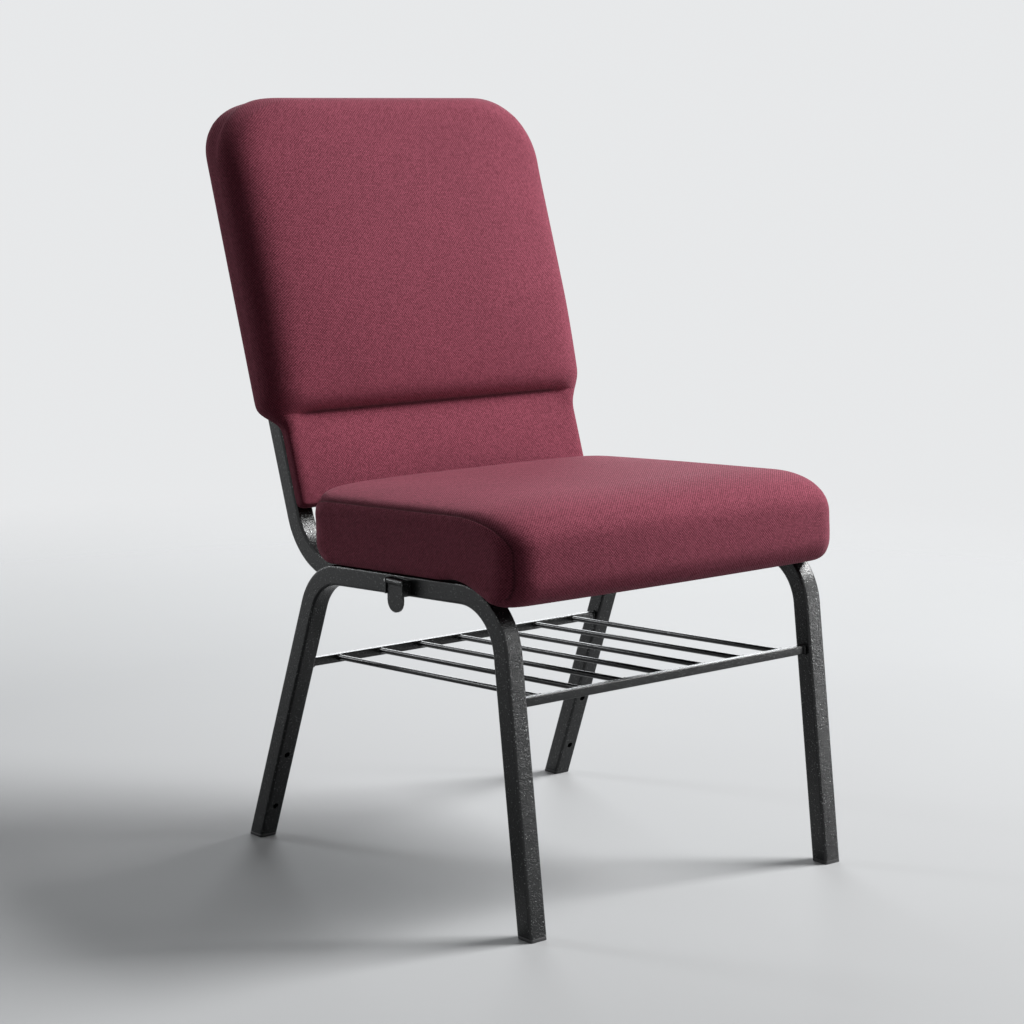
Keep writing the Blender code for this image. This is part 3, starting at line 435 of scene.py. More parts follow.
def tweed_material(name):
    """Two-tone wine tweed with a slight sheen, on a UV map in metres, with painted shade in its weave's
    hollows.
    An attribute paints shade into its seams and its crease.
    """
    finish = bpy.context.scene.hall_chair_finish
    made, tree, shader = blank_material(name)
    uv = put(tree, "ShaderNodeUVMap", uv_map="cloth").outputs["UV"]
    weave = put(tree, "ShaderNodeGroup", {"Vector": uv, "Pitch": finish.yarn}, node_tree=yarn_weave()).outputs
    melange = put(tree, "ShaderNodeTexNoise", {"Vector": uv, "Scale": 900.0, "Detail": 2.0, "Roughness": 0.6})
    heather = spread(tree, melange.outputs[0], 0.34, 0.66, -HEATHER, HEATHER)
    share = math_node(tree, "ADD", spread(tree, weave["Over"], 0, 1, WEFT_OVER, WEFT_UNDER), heather)
    share = math_node(tree, "ADD", share, spread(tree, weave["Tone"], 0, 1, -CROSSING, CROSSING))
    share = math_node(tree, "MINIMUM", math_node(tree, "MAXIMUM", share, 0.0), 1.0)
    yarns = blend_colours(tree, share, rgba(finish.warp), rgba(finish.weft))
    # Painted shade: the colour darkens where the weave's relief is low, in the hollows between the yarns.
    deep = spread(tree, weave["Height"], 0.0, 0.9, 0.62, 1.06)
    cloud = put(tree, "ShaderNodeTexNoise", {"Vector": uv, "Scale": 9.0, "Detail": 2.0}).outputs[0]
    shade = math_node(tree, "MULTIPLY", deep, spread(tree, cloud, *NOISE, 0.95, 1.05))
    # Painted shade along the seams and the crease: the seam attribute darkens the colour there.
    seam = put(tree, "ShaderNodeAttribute", attribute_name="seam").outputs["Fac"]
    shade = math_node(tree, "MULTIPLY", shade, spread(tree, seam, 0.2, 1.0, 1.0, 0.35))
    relief = math_node(tree, "ADD", weave["Height"], math_node(tree, "MULTIPLY", melange.outputs[0], 0.8))
    bump = put(tree, "ShaderNodeBump", {"Height": relief, "Strength": 0.55, "Distance": 0.0003})
    set_inputs(tree, shader, Base_Color=toned(tree, yarns, shade), Roughness=0.88, Normal=bump.outputs[0],
               Sheen_Weight=0.10, Sheen_Roughness=0.45, Sheen_Tint=(1.0, 0.72, 0.78, 1.0),
               Specular_IOR_Level=0.2)
    return made


# Powder coats: size of the grain, strength of its bump and share of its cells that are flecks.
COATS = {"tube_coat": (0.0015, 1.0, 0.16), "rod_coat": (0.0010, 0.6, 0.10)}


def powder_coat(name):
    """Dark powder coat with a fine hammered grain and metallic flecks."""
    finish = bpy.context.scene.hall_chair_finish
    size, strength, flecks = COATS[name]
    made, tree, shader = blank_material(name)
    place = put(tree, "ShaderNodeTexCoord").outputs["Object"]
    grain = put(tree, "ShaderNodeGroup", {"Vector": place, "Size": size, "Fleck share": flecks},
                node_tree=fine_grain()).outputs
    body = toned(tree, rgba(finish.coat), spread(tree, grain["Tone"], *NOISE, 0.80, 1.20))
    base = blend_colours(tree, grain["Flecks"], body, rgba(finish.fleck))
    metal = spread(tree, grain["Flecks"], 0.0, 1.0, 0.0, 0.9)
    rough = spread(tree, grain["Height"], 0.25, 0.75, 0.14, 0.28)
    bump = put(tree, "ShaderNodeBump", {"Height": grain["Height"], "Strength": strength,
                                        "Distance": size * 0.25})
    set_inputs(tree, shader, Base_Color=base, Metallic=metal, Roughness=rough, Normal=bump.outputs[0],
               Specular_IOR_Level=0.36)
    return made


# Plain finishes: colour, size of the grain, least and most roughness, metal, contrast and bump strength.
GRAINED = {
    "black_nylon": ("nylon", 0.0007, 0.42, 0.60, 0.0, 0.2, 0.25),
    "zinc_plate": ("zinc", 0.0008, 0.24, 0.42, 1.0, 0.12, 0.10),
    "spun_cloth": ("dust_cloth", 0.0012, 0.85, 0.95, 0.0, 0.5, 0.6),
}


def grained(name):
    """A plain finish with fine grain: nylon, zinc plate or spun cloth."""
    part, size, rough_low, rough_high, metallic, contrast, strength = GRAINED[name]
    plain = rgba(getattr(bpy.context.scene.hall_chair_finish, part))
    made, tree, shader = blank_material(name)
    place = put(tree, "ShaderNodeTexCoord").outputs["Object"]
    grain = put(tree, "ShaderNodeGroup", {"Vector": place, "Size": size}, node_tree=fine_grain()).outputs
    mixed = math_node(tree, "ADD", math_node(tree, "MULTIPLY", grain["Tone"], 0.6),
                      math_node(tree, "MULTIPLY", grain["Height"], 0.4))
    base = toned(tree, plain, spread(tree, mixed, *NOISE, 1 - contrast, 1 + contrast))
    rough = spread(tree, grain["Height"], *NOISE, rough_low, rough_high)
    bump = put(tree, "ShaderNodeBump", {"Height": grain["Height"], "Strength": strength,
                                        "Distance": size * 0.3})
    set_inputs(tree, shader, Base_Color=base, Metallic=metallic, Roughness=rough, Normal=bump.outputs[0])
    return made


def plywood_material(name):
    """Plywood with grain along the chair's width."""
    finish = bpy.context.scene.hall_chair_finish
    made, tree, shader = blank_material(name)
    place = put(tree, "ShaderNodeTexCoord").outputs["Object"]
    drawn = put(tree, "ShaderNodeMapping", {"Vector": place, "Scale": (6.0, 60.0, 160.0)})
    rings = put(tree, "ShaderNodeTexNoise", {"Vector": drawn.outputs[0], "Scale": 3.0, "Detail": 5.0,
                                             "Distortion": 0.6}).outputs[0]
    base = toned(tree, rgba(finish.plywood), spread(tree, rings, *NOISE, 0.72, 1.12))
    bump = put(tree, "ShaderNodeBump", {"Height": rings, "Strength": 0.2, "Distance": 0.0002})
    set_inputs(tree, shader, Base_Color=base, Roughness=0.62, Normal=bump.outputs[0])
    return made


MATERIAL_MAKERS = {"wine_tweed": tweed_material, "birch_plywood": plywood_material,
                   **dict.fromkeys(COATS, powder_coat), **dict.fromkeys(GRAINED, grained)}


def material(name):
    """The named material, made the first time that it is asked for."""
    return bpy.data.materials.get(name) or MATERIAL_MAKERS[name](name)


# Pieces

def add_piece(bm, name, finish, nodes, body="chair"):
    """Turns a bmesh into a piece that rides on a body and stands for CAD nodes."""
    mesh = bpy.data.meshes.new(name)
    bm.to_mesh(mesh)
    bm.free()
    mesh.materials.append(material(finish))
    made = bpy.data.objects.new(name, mesh)
    bpy.context.scene.collection.objects.link(made)
    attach(made, body)
    if nodes:
        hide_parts(*nodes)
    return made


def smooth_hard(made, sharp=38):
    """Smooth shading that keeps flats flat and edges crisp."""
    made.data.shade_smooth()
    made.data.set_sharp_from_angle(angle=math.radians(sharp))
    weighted = made.modifiers.new("flat_faces", "WEIGHTED_NORMAL")
    weighted.keep_sharp = True


def face_out(bm):
    """Merges doubles and points every face outward."""
    bmesh.ops.remove_doubles(bm, verts=bm.verts, dist=MERGE)
    bmesh.ops.recalc_face_normals(bm, faces=bm.faces)


def tube_start(bm, sizes, place):
    """The outer and inner outlines of a tube's end, as edges."""
    edges = []
    for inset in (0, sizes.wall):
        square = bmesh.ops.create_grid(bm, x_segments=1, y_segments=1, size=sizes.tube / 2 - inset,
                                       matrix=place)
        bmesh.ops.bevel(bm, geom=square["verts"], offset=sizes.corner - inset, offset_type="OFFSET",
                        profile_type="SUPERELLIPSE", segments=sizes.corner_steps, profile=0.5,
                        affect="VERTICES", material=-1)
        face = list(bm.faces)[-1]
        edges += list(face.edges)
        bmesh.ops.delete(bm, geom=[face], context="FACES_ONLY")
    return edges


def ends_of(edges):
    """The vertices of some edges, each once."""
    return list(dict.fromkeys(vert for edge in edges for vert in edge.verts))


def push(bm, edges, along):
    """Extrudes outlines straight along a vector and gives the outlines at the far end."""
    made = bmesh.ops.extrude_edge_only(bm, edges=edges)["geom"]
    verts = [item for item in made if isinstance(item, bmesh.types.BMVert)]
    bmesh.ops.translate(bm, vec=along, verts=verts)
    far = set(verts)
    return [item for item in made if isinstance(item, bmesh.types.BMEdge) and set(item.verts) <= far]


def turn(bm, edges, centre, swing, steps):
    """Spins outlines round an axis along X and gives the outlines at the far end."""
    made = bmesh.ops.spin(bm, geom=ends_of(edges) + edges, cent=centre, axis=(1, 0, 0), angle=swing,
                          steps=steps, use_merge=False, use_duplicate=False)
    return [item for item in made["geom_last"] if isinstance(item, bmesh.types.BMEdge)]


def bent_tube(sizes, x, path, radius):
    """A tube along straight runs that meet in bends. The path is (depth, height) points of its axis."""
    bm = bmesh.new()
    ahead = (path[1] - path[0]).normalized()
    here = path[0]
    place = Matrix(((1, 0, 0, x), (0, -ahead.y, ahead.x, here.x), (0, ahead.x, ahead.y, here.y),
                    (0, 0, 0, 1)))
    edges = tube_start(bm, sizes, place)
    for corner, following in zip(path[1:], path[2:]):
        after = (following - corner).normalized()
        swing = math.atan2(ahead.x * after.y - ahead.y * after.x, ahead.dot(after))
        back_off = radius * math.tan(abs(swing) / 2)
        start = corner - ahead * back_off
        edges = push(bm, edges, (0, *(start - here)))
        centre = start + Vector((-ahead.y, ahead.x)) * math.copysign(radius, swing)
        edges = turn(bm, edges, (x, *centre), swing, sizes.bend_steps)
        here = corner + after * back_off
        ahead = after
    push(bm, edges, (0, *(path[-1] - here)))
    return bm


def close_tube(bm, axis, middle):
    """Closes the two ends of a tube, on either side of a middle, with rings between its outlines."""
    for end in (-1, 1):
        rims = [edge for edge in bm.edges
                if edge.is_boundary and all((vert.co[axis] - middle) * end > 0 for vert in edge.verts)]
        bmesh.ops.triangle_fill(bm, use_beauty=True, edges=rims)
    face_out(bm)


def cut_out(made, cutters):
    """Takes the forms of some bmeshes out of a piece."""
    tools = []
    for bm in cutters:
        mesh = bpy.data.meshes.new("cutter")
        bm.to_mesh(mesh)
        bm.free()
        tool = bpy.data.objects.new("cutter", mesh)
        bpy.context.scene.collection.objects.link(tool)
        tools.append(tool)
        boolean = made.modifiers.new("cut", "BOOLEAN")
        boolean.operation = "DIFFERENCE"
        boolean.solver = "EXACT"
        boolean.object = tool
    bpy.context.view_layer.update()
    made.data = bpy.data.meshes.new_from_object(made.evaluated_get(bpy.context.evaluated_depsgraph_get()))
    made.modifiers.clear()
    for tool in tools:
        bpy.data.objects.remove(tool)


def round_bar(bm, place, diameter, long, segments):
    """Adds a round bar to a bmesh, with Z along it."""
    bmesh.ops.create_cone(bm, cap_ends=True, segments=segments, radius1=diameter / 2, radius2=diameter / 2,
                          depth=long, matrix=place)
    return bm


def turned(profile, place):
    """A turned form from (radius, distance) points, with Z along its axis."""
    bm = bmesh.new()
    verts = [bm.verts.new((radius, 0, along)) for radius, along in profile]
    edges = [bm.edges.new(pair) for pair in zip(verts, verts[1:])]
    bmesh.ops.spin(bm, geom=verts + edges, cent=(0, 0, 0), axis=(0, 0, 1), angle=math.tau, steps=32,
                   use_merge=True)
    face_out(bm)
    bmesh.ops.transform(bm, matrix=place, verts=bm.verts)
    return bm


def box_middle(node):
    """The middle of a CAD node's box."""
    low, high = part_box(node)
    return (low + high) / 2


def along_axis(middle, axis, long):
    """The frame of a turned piece of a given length round a middle, with Z along an axis from its head."""
    axis = Vector(axis).normalized()
    return Matrix.Translation(middle - axis * long / 2) @ axis.to_track_quat("Z", "X").to_matrix().to_4x4()


# A pan head's outline, and its recess's length, width and depth, as shares of the head's radius and height.
PAN_HEAD = ((0, 0), (0.62, 0), (0.88, 0.12), (1, 0.45), (1, 1))
RECESS = (1.15, 0.22, 1.1)
RECESS_TURNS = (45, 135)


def screw(node, axis, long, head, head_height, shank):
    """A pan head screw with a cross recess, in place of a CAD screw."""
    place = along_axis(box_middle(node), axis, long)
    profile = [(head * out, head_height * along) for out, along in PAN_HEAD]
    profile += [(shank, head_height), (shank, long - shank), (0, long)]
    made = add_piece(turned(profile, place), f"{node}_turned", "zinc_plate", [node])
    slot_size = Matrix.Diagonal((head * RECESS[0], head * RECESS[1], head_height * RECESS[2], 1))
    recess = []
    for swing in RECESS_TURNS:
        bm = bmesh.new()
        slot = place @ Matrix.Rotation(math.radians(swing), 4, "Z") @ slot_size
        bmesh.ops.create_cube(bm, size=1, matrix=slot)
        recess.append(bm)
    cut_out(made, recess)
    smooth_hard(made, 30)


def lay_bead(bm, start, end, radius):
    """A weld bead from overlapping drops."""
    drops = max(2, round((end - start).length / (radius * 0.8)))
    for number in range(drops + 1):
        place = Matrix.Translation(start.lerp(end, number / drops))
        bmesh.ops.create_icosphere(bm, subdivisions=2, radius=radius, matrix=place)


def eased_copy(node, finish, ease, body="chair"):
    """A copy of a CAD node with its sharp edges rounded."""
    bm = bmesh.new()
    bm.from_mesh(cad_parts[node].data)
    bmesh.ops.remove_doubles(bm, verts=bm.verts, dist=MERGE)
    bmesh.ops.dissolve_limit(bm, angle_limit=math.radians(1), verts=bm.verts, edges=bm.edges)
    sharp = [edge for edge in bm.edges if edge.calc_face_angle(0) > math.radians(33)]
    bmesh.ops.bevel(bm, geom=sharp, offset=ease, offset_type="OFFSET", segments=3, profile=0.5,
                    affect="EDGES", material=-1, clamp_overlap=True)
    smooth_hard(add_piece(bm, f"{node}_eased", finish, [node], body))


class HALLCHAIR_OT_side_frames(bpy.types.Operator):
    """Bends the two side frames and drills the holes in their rear legs"""
    bl_idname = "hallchair.side_frames"
    bl_label = "Side frames"

    def execute(self, context):
        sizes = context.scene.hall_chair_frame
        view = SideView(sizes)
        path = [view.front_foot - view.front_leg * sizes.tube,
                meet(view.front_foot, view.front_leg, view.rail_axis, view.down),
                meet(view.rear_foot, view.rear_leg, view.rail_axis, view.down),
                view.rear_foot - view.rear_leg * sizes.tube]
        for side, sign in SIDES.items():
            bm = bent_tube(sizes, sign * view.rail_x, path, sizes.bend)
            bmesh.ops.bisect_plane(bm, geom=bm.verts[:] + bm.edges[:] + bm.faces[:], plane_co=UP * sizes.sole,
                                   plane_no=UP, clear_inner=True)
            close_tube(bm, 1, view.rail_middle.x)
            plane = view.plane(side)
            bmesh.ops.transform(bm, matrix=plane, verts=bm.verts)
            made = add_piece(bm, f"bent_frame_{side}", "tube_coat", [f"side_frame_{side}"])
            facing = Matrix.Rotation(QUARTER + sizes.rear_lean, 4, "X")
            holes = []
            for height in (sizes.hole_low, sizes.hole_high):
                axis = view.rear_foot + view.rear_leg * (height / view.rear_leg.y)
                mouth = axis - Vector((view.rear_leg.y, -view.rear_leg.x)) * sizes.tube / 2
                place = plane @ Matrix.Translation((sign * view.rail_x, *mouth)) @ facing
                holes.append(round_bar(bmesh.new(), place, sizes.hole, sizes.tube / 2, 24))
            cut_out(made, holes)
            smooth_hard(made)
        return {"FINISHED"}


class HALLCHAIR_OT_uprights(bpy.types.Operator):
    """Bends the two back uprights and their runs under the seat"""
    bl_idname = "hallchair.uprights"
    bl_label = "Back uprights"

    def execute(self, context):
        sizes = context.scene.hall_chair_frame
        view = SideView(sizes)
        front = view.on_rail(sizes.run_front)
        top = view.upright_start + view.upright * sizes.upright_top
        for side, sign in SIDES.items():
            bm = bent_tube(sizes, sign * view.upright_x, [front, view.upright_start, top], sizes.upright_bend)
            close_tube(bm, 1, view.upright_start.x)
            bmesh.ops.transform(bm, matrix=view.plane(side), verts=bm.verts)
            made = add_piece(bm, f"bent_upright_{side}", "tube_coat", [f"back_upright_{side}"])
            smooth_hard(made)
        return {"FINISHED"}


class HALLCHAIR_OT_cross_rails(bpy.types.Operator):
    """Lays the two cross rails under the seat"""
    bl_idname = "hallchair.cross_rails"
    bl_label = "Cross rails"

    def execute(self, context):
        sizes = context.scene.hall_chair_frame
        view = SideView(sizes)
        for end, depth in (("front", sizes.rail_front), ("rear", sizes.rail_rear)):
            low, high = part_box(f"seat_rail_{end}")
            start = Matrix.Translation((low.x, view.along_seat(depth), -sizes.tube / 2))
            bm = bmesh.new()
            edges = tube_start(bm, sizes, view.seat @ start @ Matrix.Rotation(QUARTER, 4, "Y"))
            push(bm, edges, (high.x - low.x, 0, 0))
            close_tube(bm, 0, 0)
            smooth_hard(add_piece(bm, f"cross_rail_{end}", "tube_coat", [f"seat_rail_{end}"]))
        return {"FINISHED"}


def rack_place(view, rack):
    """The rack's own frame, at the top of its front bar, and its reach to the rear bar."""
    front = view.front_foot + view.front_leg * (rack.top / view.front_leg.y)
    rear = meet(front, view.down, view.rear_foot, view.rear_leg)
    tilt = -math.atan2(-view.down.y, view.down.x)
    return view.group(front, tilt), (rear - front).length


def rod_places(rack):
    """How far each rod of the rack stands from its middle."""
    return [(number - (rack.rods - 1) / 2) * rack.pitch for number in range(rack.rods)]


class HALLCHAIR_OT_book_rack(bpy.types.Operator):
    """Sets the two bars and the rods of the book rack"""
    bl_idname = "hallchair.book_rack"
    bl_label = "Book rack"

    def execute(self, context):
        rack = context.scene.hall_chair_rack
        sizes = context.scene.hall_chair_frame
        place, reach = rack_place(SideView(sizes), rack)
        for end in ("front", "rear"):
            eased_copy(f"rack_bar_{end}", "rod_coat", rack.bar_edge)
        long = reach - rack.bar - 2 * sizes.gap
        for number, x in enumerate(rod_places(rack), 1):
            middle = place @ Matrix.Translation((x, reach / 2, rack.rise - rack.bar / 2))
            bm = round_bar(bmesh.new(), middle @ Matrix.Rotation(QUARTER, 4, "X"), rack.rod, long, 28)
            name = f"rack_rod_{number}"
            smooth_hard(add_piece(bm, f"{name}_round", "rod_coat", [name]))
        return {"FINISHED"}


# The hinge pin's outline from its head, as radii and distances, and how far it stands proud of the CAD pin.
PIN_LONG = 0.0349
PIN_SHANK = 0.0016
PIN_PROFILE = ((0, 0), (0.0014, 0.0001), (0.0023, 0.0006), (0.0028, 0.0015), (0.0028, 0.0030),
               (PIN_SHANK, 0.0030), (PIN_SHANK, PIN_LONG - 0.0012), (0.0011, PIN_LONG - 0.0005),
               (0, PIN_LONG - 0.0004))
PIN_PROUD = 0.0007


class HALLCHAIR_OT_gang_hardware(bpy.types.Operator):
    """Rounds the edges of the ganging bracket, tongue, pin and receiver"""
    bl_idname = "hallchair.gang_hardware"
    bl_label = "Ganging hardware"

    ease: length("Ease", "Round on the sheet's edges", 0.0005)

    def execute(self, context):
        eased_copy("gang_bracket", "tube_coat", self.ease)
        eased_copy("gang_receiver", "tube_coat", self.ease)
        eased_copy("gang_tongue", "tube_coat", self.ease, "tongue")
        hinge = SideView(context.scene.hall_chair_frame).plane("left").to_3x3() @ AHEAD
        place = along_axis(box_middle("gang_pin") - hinge * PIN_PROUD, hinge, PIN_LONG)
        pin = add_piece(turned(PIN_PROFILE, place), "gang_pin_turned", "zinc_plate", ["gang_pin"])
        # The pin's front half takes the dark powder coat, as painted shade for the gap in the bracket that it
        # sits in.
        pin.data.materials.append(material("tube_coat"))
        for face in pin.data.polygons:
            if (place.inverted() @ face.center).z > PIN_LONG / 2:
                face.material_index = 1
        smooth_hard(pin)
        return {"FINISHED"}


class HALLCHAIR_OT_glides(bpy.types.Operator):
    """Rounds the edges of the foot glides and the seat run plugs"""
    bl_idname = "hallchair.glides"
    bl_label = "Glides and plugs"

    ease: length("Ease", "Round on the mouldings' edges", 0.0006)

    def execute(self, context):
        for side in SIDES:
            for node in (f"foot_glide_front_{side}", f"foot_glide_rear_{side}", f"seat_run_plug_{side}"):
                eased_copy(node, "black_nylon", self.ease)
        return {"FINISHED"}


# Screws: length, radius and height of the head, and radius of the shank.
SEAT_SCREW = (0.0397, 0.006, 0.0035, 0.003)
BACK_SCREW = (0.0310, 0.0045, 0.0024, 0.0021)


class HALLCHAIR_OT_screws(bpy.types.Operator):
    """Turns the screws of the seat and the back, with their cross recesses"""
    bl_idname = "hallchair.screws"
    bl_label = "Screws"

    def execute(self, context):
        view = SideView(context.scene.hall_chair_frame)
        up = view.seat.to_3x3() @ UP
        for number in range(1, 5):
            screw(f"seat_screw_{number}", up, *SEAT_SCREW)
        ahead = view.back.to_3x3() @ AHEAD
        for side in SIDES:
            for row in ("low", "high"):
                screw(f"back_screw_{row}_{side}", ahead, *BACK_SCREW)
        return {"FINISHED"}


# Welds: how far the collars flare over the rods, where the bars' beads lie, and the stitches along the rails.
COLLAR_FLARE = 0.45
COLLAR_LIP = 0.0001
BAR_BEAD = 0.62
BAR_BEAD_IN = 0.001
BAR_BEAD_OUT = 1.2
BAR_END_IN = 0.0006
RAIL_BEAD = 0.8
STITCHES = (0.170, 0.240, 0.310)
STITCH_HALF = 0.011
STITCH_RISE = 0.0012


class HALLCHAIR_OT_welds(bpy.types.Operator):
    """Lays the weld beads of the rack, the cross rails and the runs under the seat"""
    bl_idname = "hallchair.welds"
    bl_label = "Weld beads"

    def execute(self, context):
        rack = context.scene.hall_chair_rack
        sizes = context.scene.hall_chair_frame
        view = SideView(sizes)
        self.rack_welds(view, rack)
        self.rail_welds(view, sizes, rack.bead)
        return {"FINISHED"}

    def rack_welds(self, view, rack):
        """Flared collars round the rods' ends, and beads round the bars' ends."""
        place, reach = rack_place(view, rack)
        bm = bmesh.new()
        off = rack.bar / 2 + rack.bead / 2
        for x in rod_places(rack):
            for along, facing in ((off, -QUARTER), (reach - off, QUARTER)):
                collar = Matrix.Translation((x, along, rack.rise - rack.bar / 2))
                bmesh.ops.create_cone(bm, cap_ends=True, segments=20, depth=rack.bead,
                                      radius1=rack.rod / 2 + rack.bead * COLLAR_FLARE,
                                      radius2=rack.rod / 2 + COLLAR_LIP,
                                      matrix=place @ collar @ Matrix.Rotation(facing, 4, "X"))
        tilt = place.to_3x3()
        half = (rack.bar / 2 - BAR_BEAD_IN) * BAR_BEAD_OUT
        ring = ((-half, half), (half, half), (half, -half), (-half, -half))
        for end in ("front", "rear"):
            low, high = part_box(f"rack_bar_{end}")
            for x in (low.x + BAR_END_IN, high.x - BAR_END_IN):
                corners = self.points_round(low, high, x, tilt, ring)
                for start, stop in zip(corners, corners[1:] + corners[:1]):
                    lay_bead(bm, start, stop, rack.bead * BAR_BEAD)
        smooth_hard(add_piece(bm, "rack_welds", "rod_coat", []), 60)

    def rail_welds(self, view, sizes, bead):
        """Beads where the cross rails meet the runs, and stitches between the runs and the side frames."""
        bm = bmesh.new()
        edge = sizes.tube / 2
        half = edge - sizes.corner
        ways = (((-half, -edge), (half, -edge)), ((-edge, -half), (-edge, half)),
                ((edge, -half), (edge, half)))
        tilt = view.seat.to_3x3()
        for end in ("front", "rear"):
            low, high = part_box(f"seat_rail_{end}")
            for x in (low.x, high.x):
                for way in ways:
                    lay_bead(bm, *self.points_round(low, high, x, tilt, way), bead * RAIL_BEAD)
        for side, sign in SIDES.items():
            plane = view.plane(side)
            x = sign * (view.upright_x + edge)
            for depth in STITCHES:
                ends = [view.on_rail(depth + shift) for shift in (-STITCH_HALF, STITCH_HALF)]
                start, stop = [plane @ Vector((x, end.x, end.y - edge + STITCH_RISE)) for end in ends]
                lay_bead(bm, start, stop, bead)
        smooth_hard(add_piece(bm, "rail_welds", "tube_coat", []), 60)

    def points_round(self, low, high, x, tilt, places):
        """Places (along, up) in a tilted section at one end of a bar, as points."""
        middle = (low + high) / 2
        return [Vector((x, middle.y, middle.z)) + tilt @ Vector((0, *place)) for place in places]


class HALLCHAIR_OT_hidden_parts(bpy.types.Operator):
    """Gives the pieces that keep their CAD shape their finishes"""
    bl_idname = "hallchair.hidden_parts"
    bl_label = "Boards and fasteners"

    def execute(self, context):
        finishes = {"plywood": "birch_plywood", "zinc": "zinc_plate", "nylon": "black_nylon",
                    "powder_coat": "tube_coat"}
        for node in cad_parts.values():
            if not node.hide_render:
                kind = node.data.materials[0].name.split(".")[0]
                node.data.materials[0] = material(finishes[kind])
        return {"FINISHED"}


# Dust cloth: how it crinkles, how far in its staples sit, and a staple's size, rounding and stray turn.
CRINKLE_RATE = 26
CRINKLE = 0.0006
STAPLE_IN = 0.0055
STAPLE_SUNK = 0.0002
STAPLE = (0.0105, 0.0012, 0.0006, 1)
STAPLE_ROUND = 0.0002
STAPLE_TURN = 12
STAPLE_STRAY = 2.4


class HALLCHAIR_OT_dust_cloth(bpy.types.Operator):
    """Stretches the dust cloth under the seat and staples its rear edge"""
    bl_idname = "hallchair.dust_cloth"
    bl_label = "Dust cloth"

    sag: length("Sag", "How far the cloth sags between the cross rails", 0.003)
    thickness: length("Thickness", "Thickness of the spun cloth", 0.0008)
    staples: count("Staples", "How many staples hold the rear edge", 9)

    def execute(self, context):
        sizes = context.scene.hall_chair_frame
        view = SideView(sizes)
        low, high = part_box("seat_dust_cover")
        inverse = view.seat.inverted()
        front = (inverse @ Vector((0, low.y, high.z))).y
        rear = (inverse @ Vector((0, high.y, low.z))).y
        wide = high.x - low.x
        bm = bmesh.new()
        middle = Matrix.Translation((0, (front + rear) / 2, sizes.gap + self.thickness / 2))
        bmesh.ops.create_grid(bm, x_segments=72, y_segments=44, size=1,
                              matrix=middle @ Matrix.Diagonal((wide / 2, (rear - front) / 2, 1, 1)))
        self.sink(bm, view, sizes)
        bmesh.ops.recalc_face_normals(bm, faces=bm.faces)
        bmesh.ops.solidify(bm, geom=bm.faces[:], thickness=self.thickness)
        bmesh.ops.recalc_face_normals(bm, faces=bm.faces)
        bmesh.ops.transform(bm, matrix=view.seat, verts=bm.verts)
        made = add_piece(bm, "dust_cloth_sheet", "spun_cloth", ["seat_dust_cover"])
        made.data.shade_smooth()
        made.data.set_sharp_from_angle(angle=math.radians(50))
        self.staple_row(view, rear - STAPLE_IN, sizes)
        return {"FINISHED"}

    def sink(self, bm, view, sizes):
        """Lets the cloth sag and crinkle between the tubes that it lies on."""
        start = view.along_seat(sizes.rail_front) + sizes.tube * 0.7
        end = view.along_seat(sizes.rail_rear) - sizes.tube * 0.7
        side = view.upright_x - sizes.tube * 0.8
        for vert in bm.verts:
            across = min(max((vert.co.x + side) / (2 * side), 0), 1)
            along = min(max((vert.co.y - start) / (end - start), 0), 1)
            inside = math.sin(math.pi * across) * math.sin(math.pi * along)
            at = Vector((vert.co.x * CRINKLE_RATE, vert.co.y * CRINKLE_RATE, 0))
            vert.co.z -= inside * (self.sag + noise.noise(at) * CRINKLE)

    def staple_row(self, view, along, sizes):
        """A row of wire staples on the cloth's rear edge."""
        bm = bmesh.new()
        span = 2 * (view.upright_x - sizes.tube)
        for number in range(self.staples):
            x = span * (number / (self.staples - 1) - 0.5)
            swing = math.radians(STAPLE_TURN * math.sin(number * STAPLE_STRAY))
            place = view.seat @ Matrix.Translation((x, along, sizes.gap - STAPLE_SUNK))
            strayed = place @ Matrix.Rotation(swing, 4, "Z")
            bmesh.ops.create_cube(bm, size=1, matrix=strayed @ Matrix.Diagonal(STAPLE))
        bmesh.ops.bevel(bm, geom=bm.edges[:], offset=STAPLE_ROUND, offset_type="OFFSET", segments=2,
                        profile=0.5, affect="EDGES", material=-1)
        smooth_hard(add_piece(bm, "dust_cloth_staples", "zinc_plate", []))


# Cushions

class Block:
    """A cube cut into rows, whose grid points are moved into a cushion's shape."""

    def __init__(self, across, deep, high):
        self.counts = (across, deep, high)
        self.bm = bmesh.new()
        bmesh.ops.create_cube(self.bm, size=2)
        for axis, steps in enumerate(self.counts):
            along = [edge for edge in self.bm.edges
                     if abs((edge.verts[0].co - edge.verts[1].co)[axis]) > MERGE]
            bmesh.ops.subdivide_edges(self.bm, edges=along, cuts=steps - 1, use_grid_fill=True)
        self.cloth = self.bm.loops.layers.uv.new("cloth")
        self.seam = self.bm.verts.layers.float.new("seam")
        self.crease = self.bm.edges.layers.float.new("crease_edge")
        self.at = {vert: tuple(round((vert.co[axis] + 1) / 2 * self.counts[axis]) for axis in range(3))
                   for vert in self.bm.verts}

    def side(self, face):
        """Which side of the cube a face lies on, as an axis and 0 or 1."""
        for axis in range(3):
            values = {self.at[vert][axis] for vert in face.verts}
            if len(values) == 1 and values & {0, self.counts[axis]}:
                return axis, int(values != {0})
        raise ValueError("a face lies on no side of the block")


def rows(steps, whole, edge):
    """Even steps of a length as shares, with a narrow first and last step beside the seams."""
    inner = np.linspace(edge / whole, 1 - edge / whole, steps - 1)
    return np.concatenate(([0.0], inner, [1.0]))


def resample(points, shares):
    """Points at shares of the length of a line."""
    points = np.array(points)
    travelled = np.concatenate(([0.0], np.cumsum(np.linalg.norm(np.diff(points, axis=0), axis=1))))
    shares = np.array(shares) * travelled[-1]
    return np.stack([np.interp(shares, travelled, points[:, axis]) for axis in range(2)], axis=1)


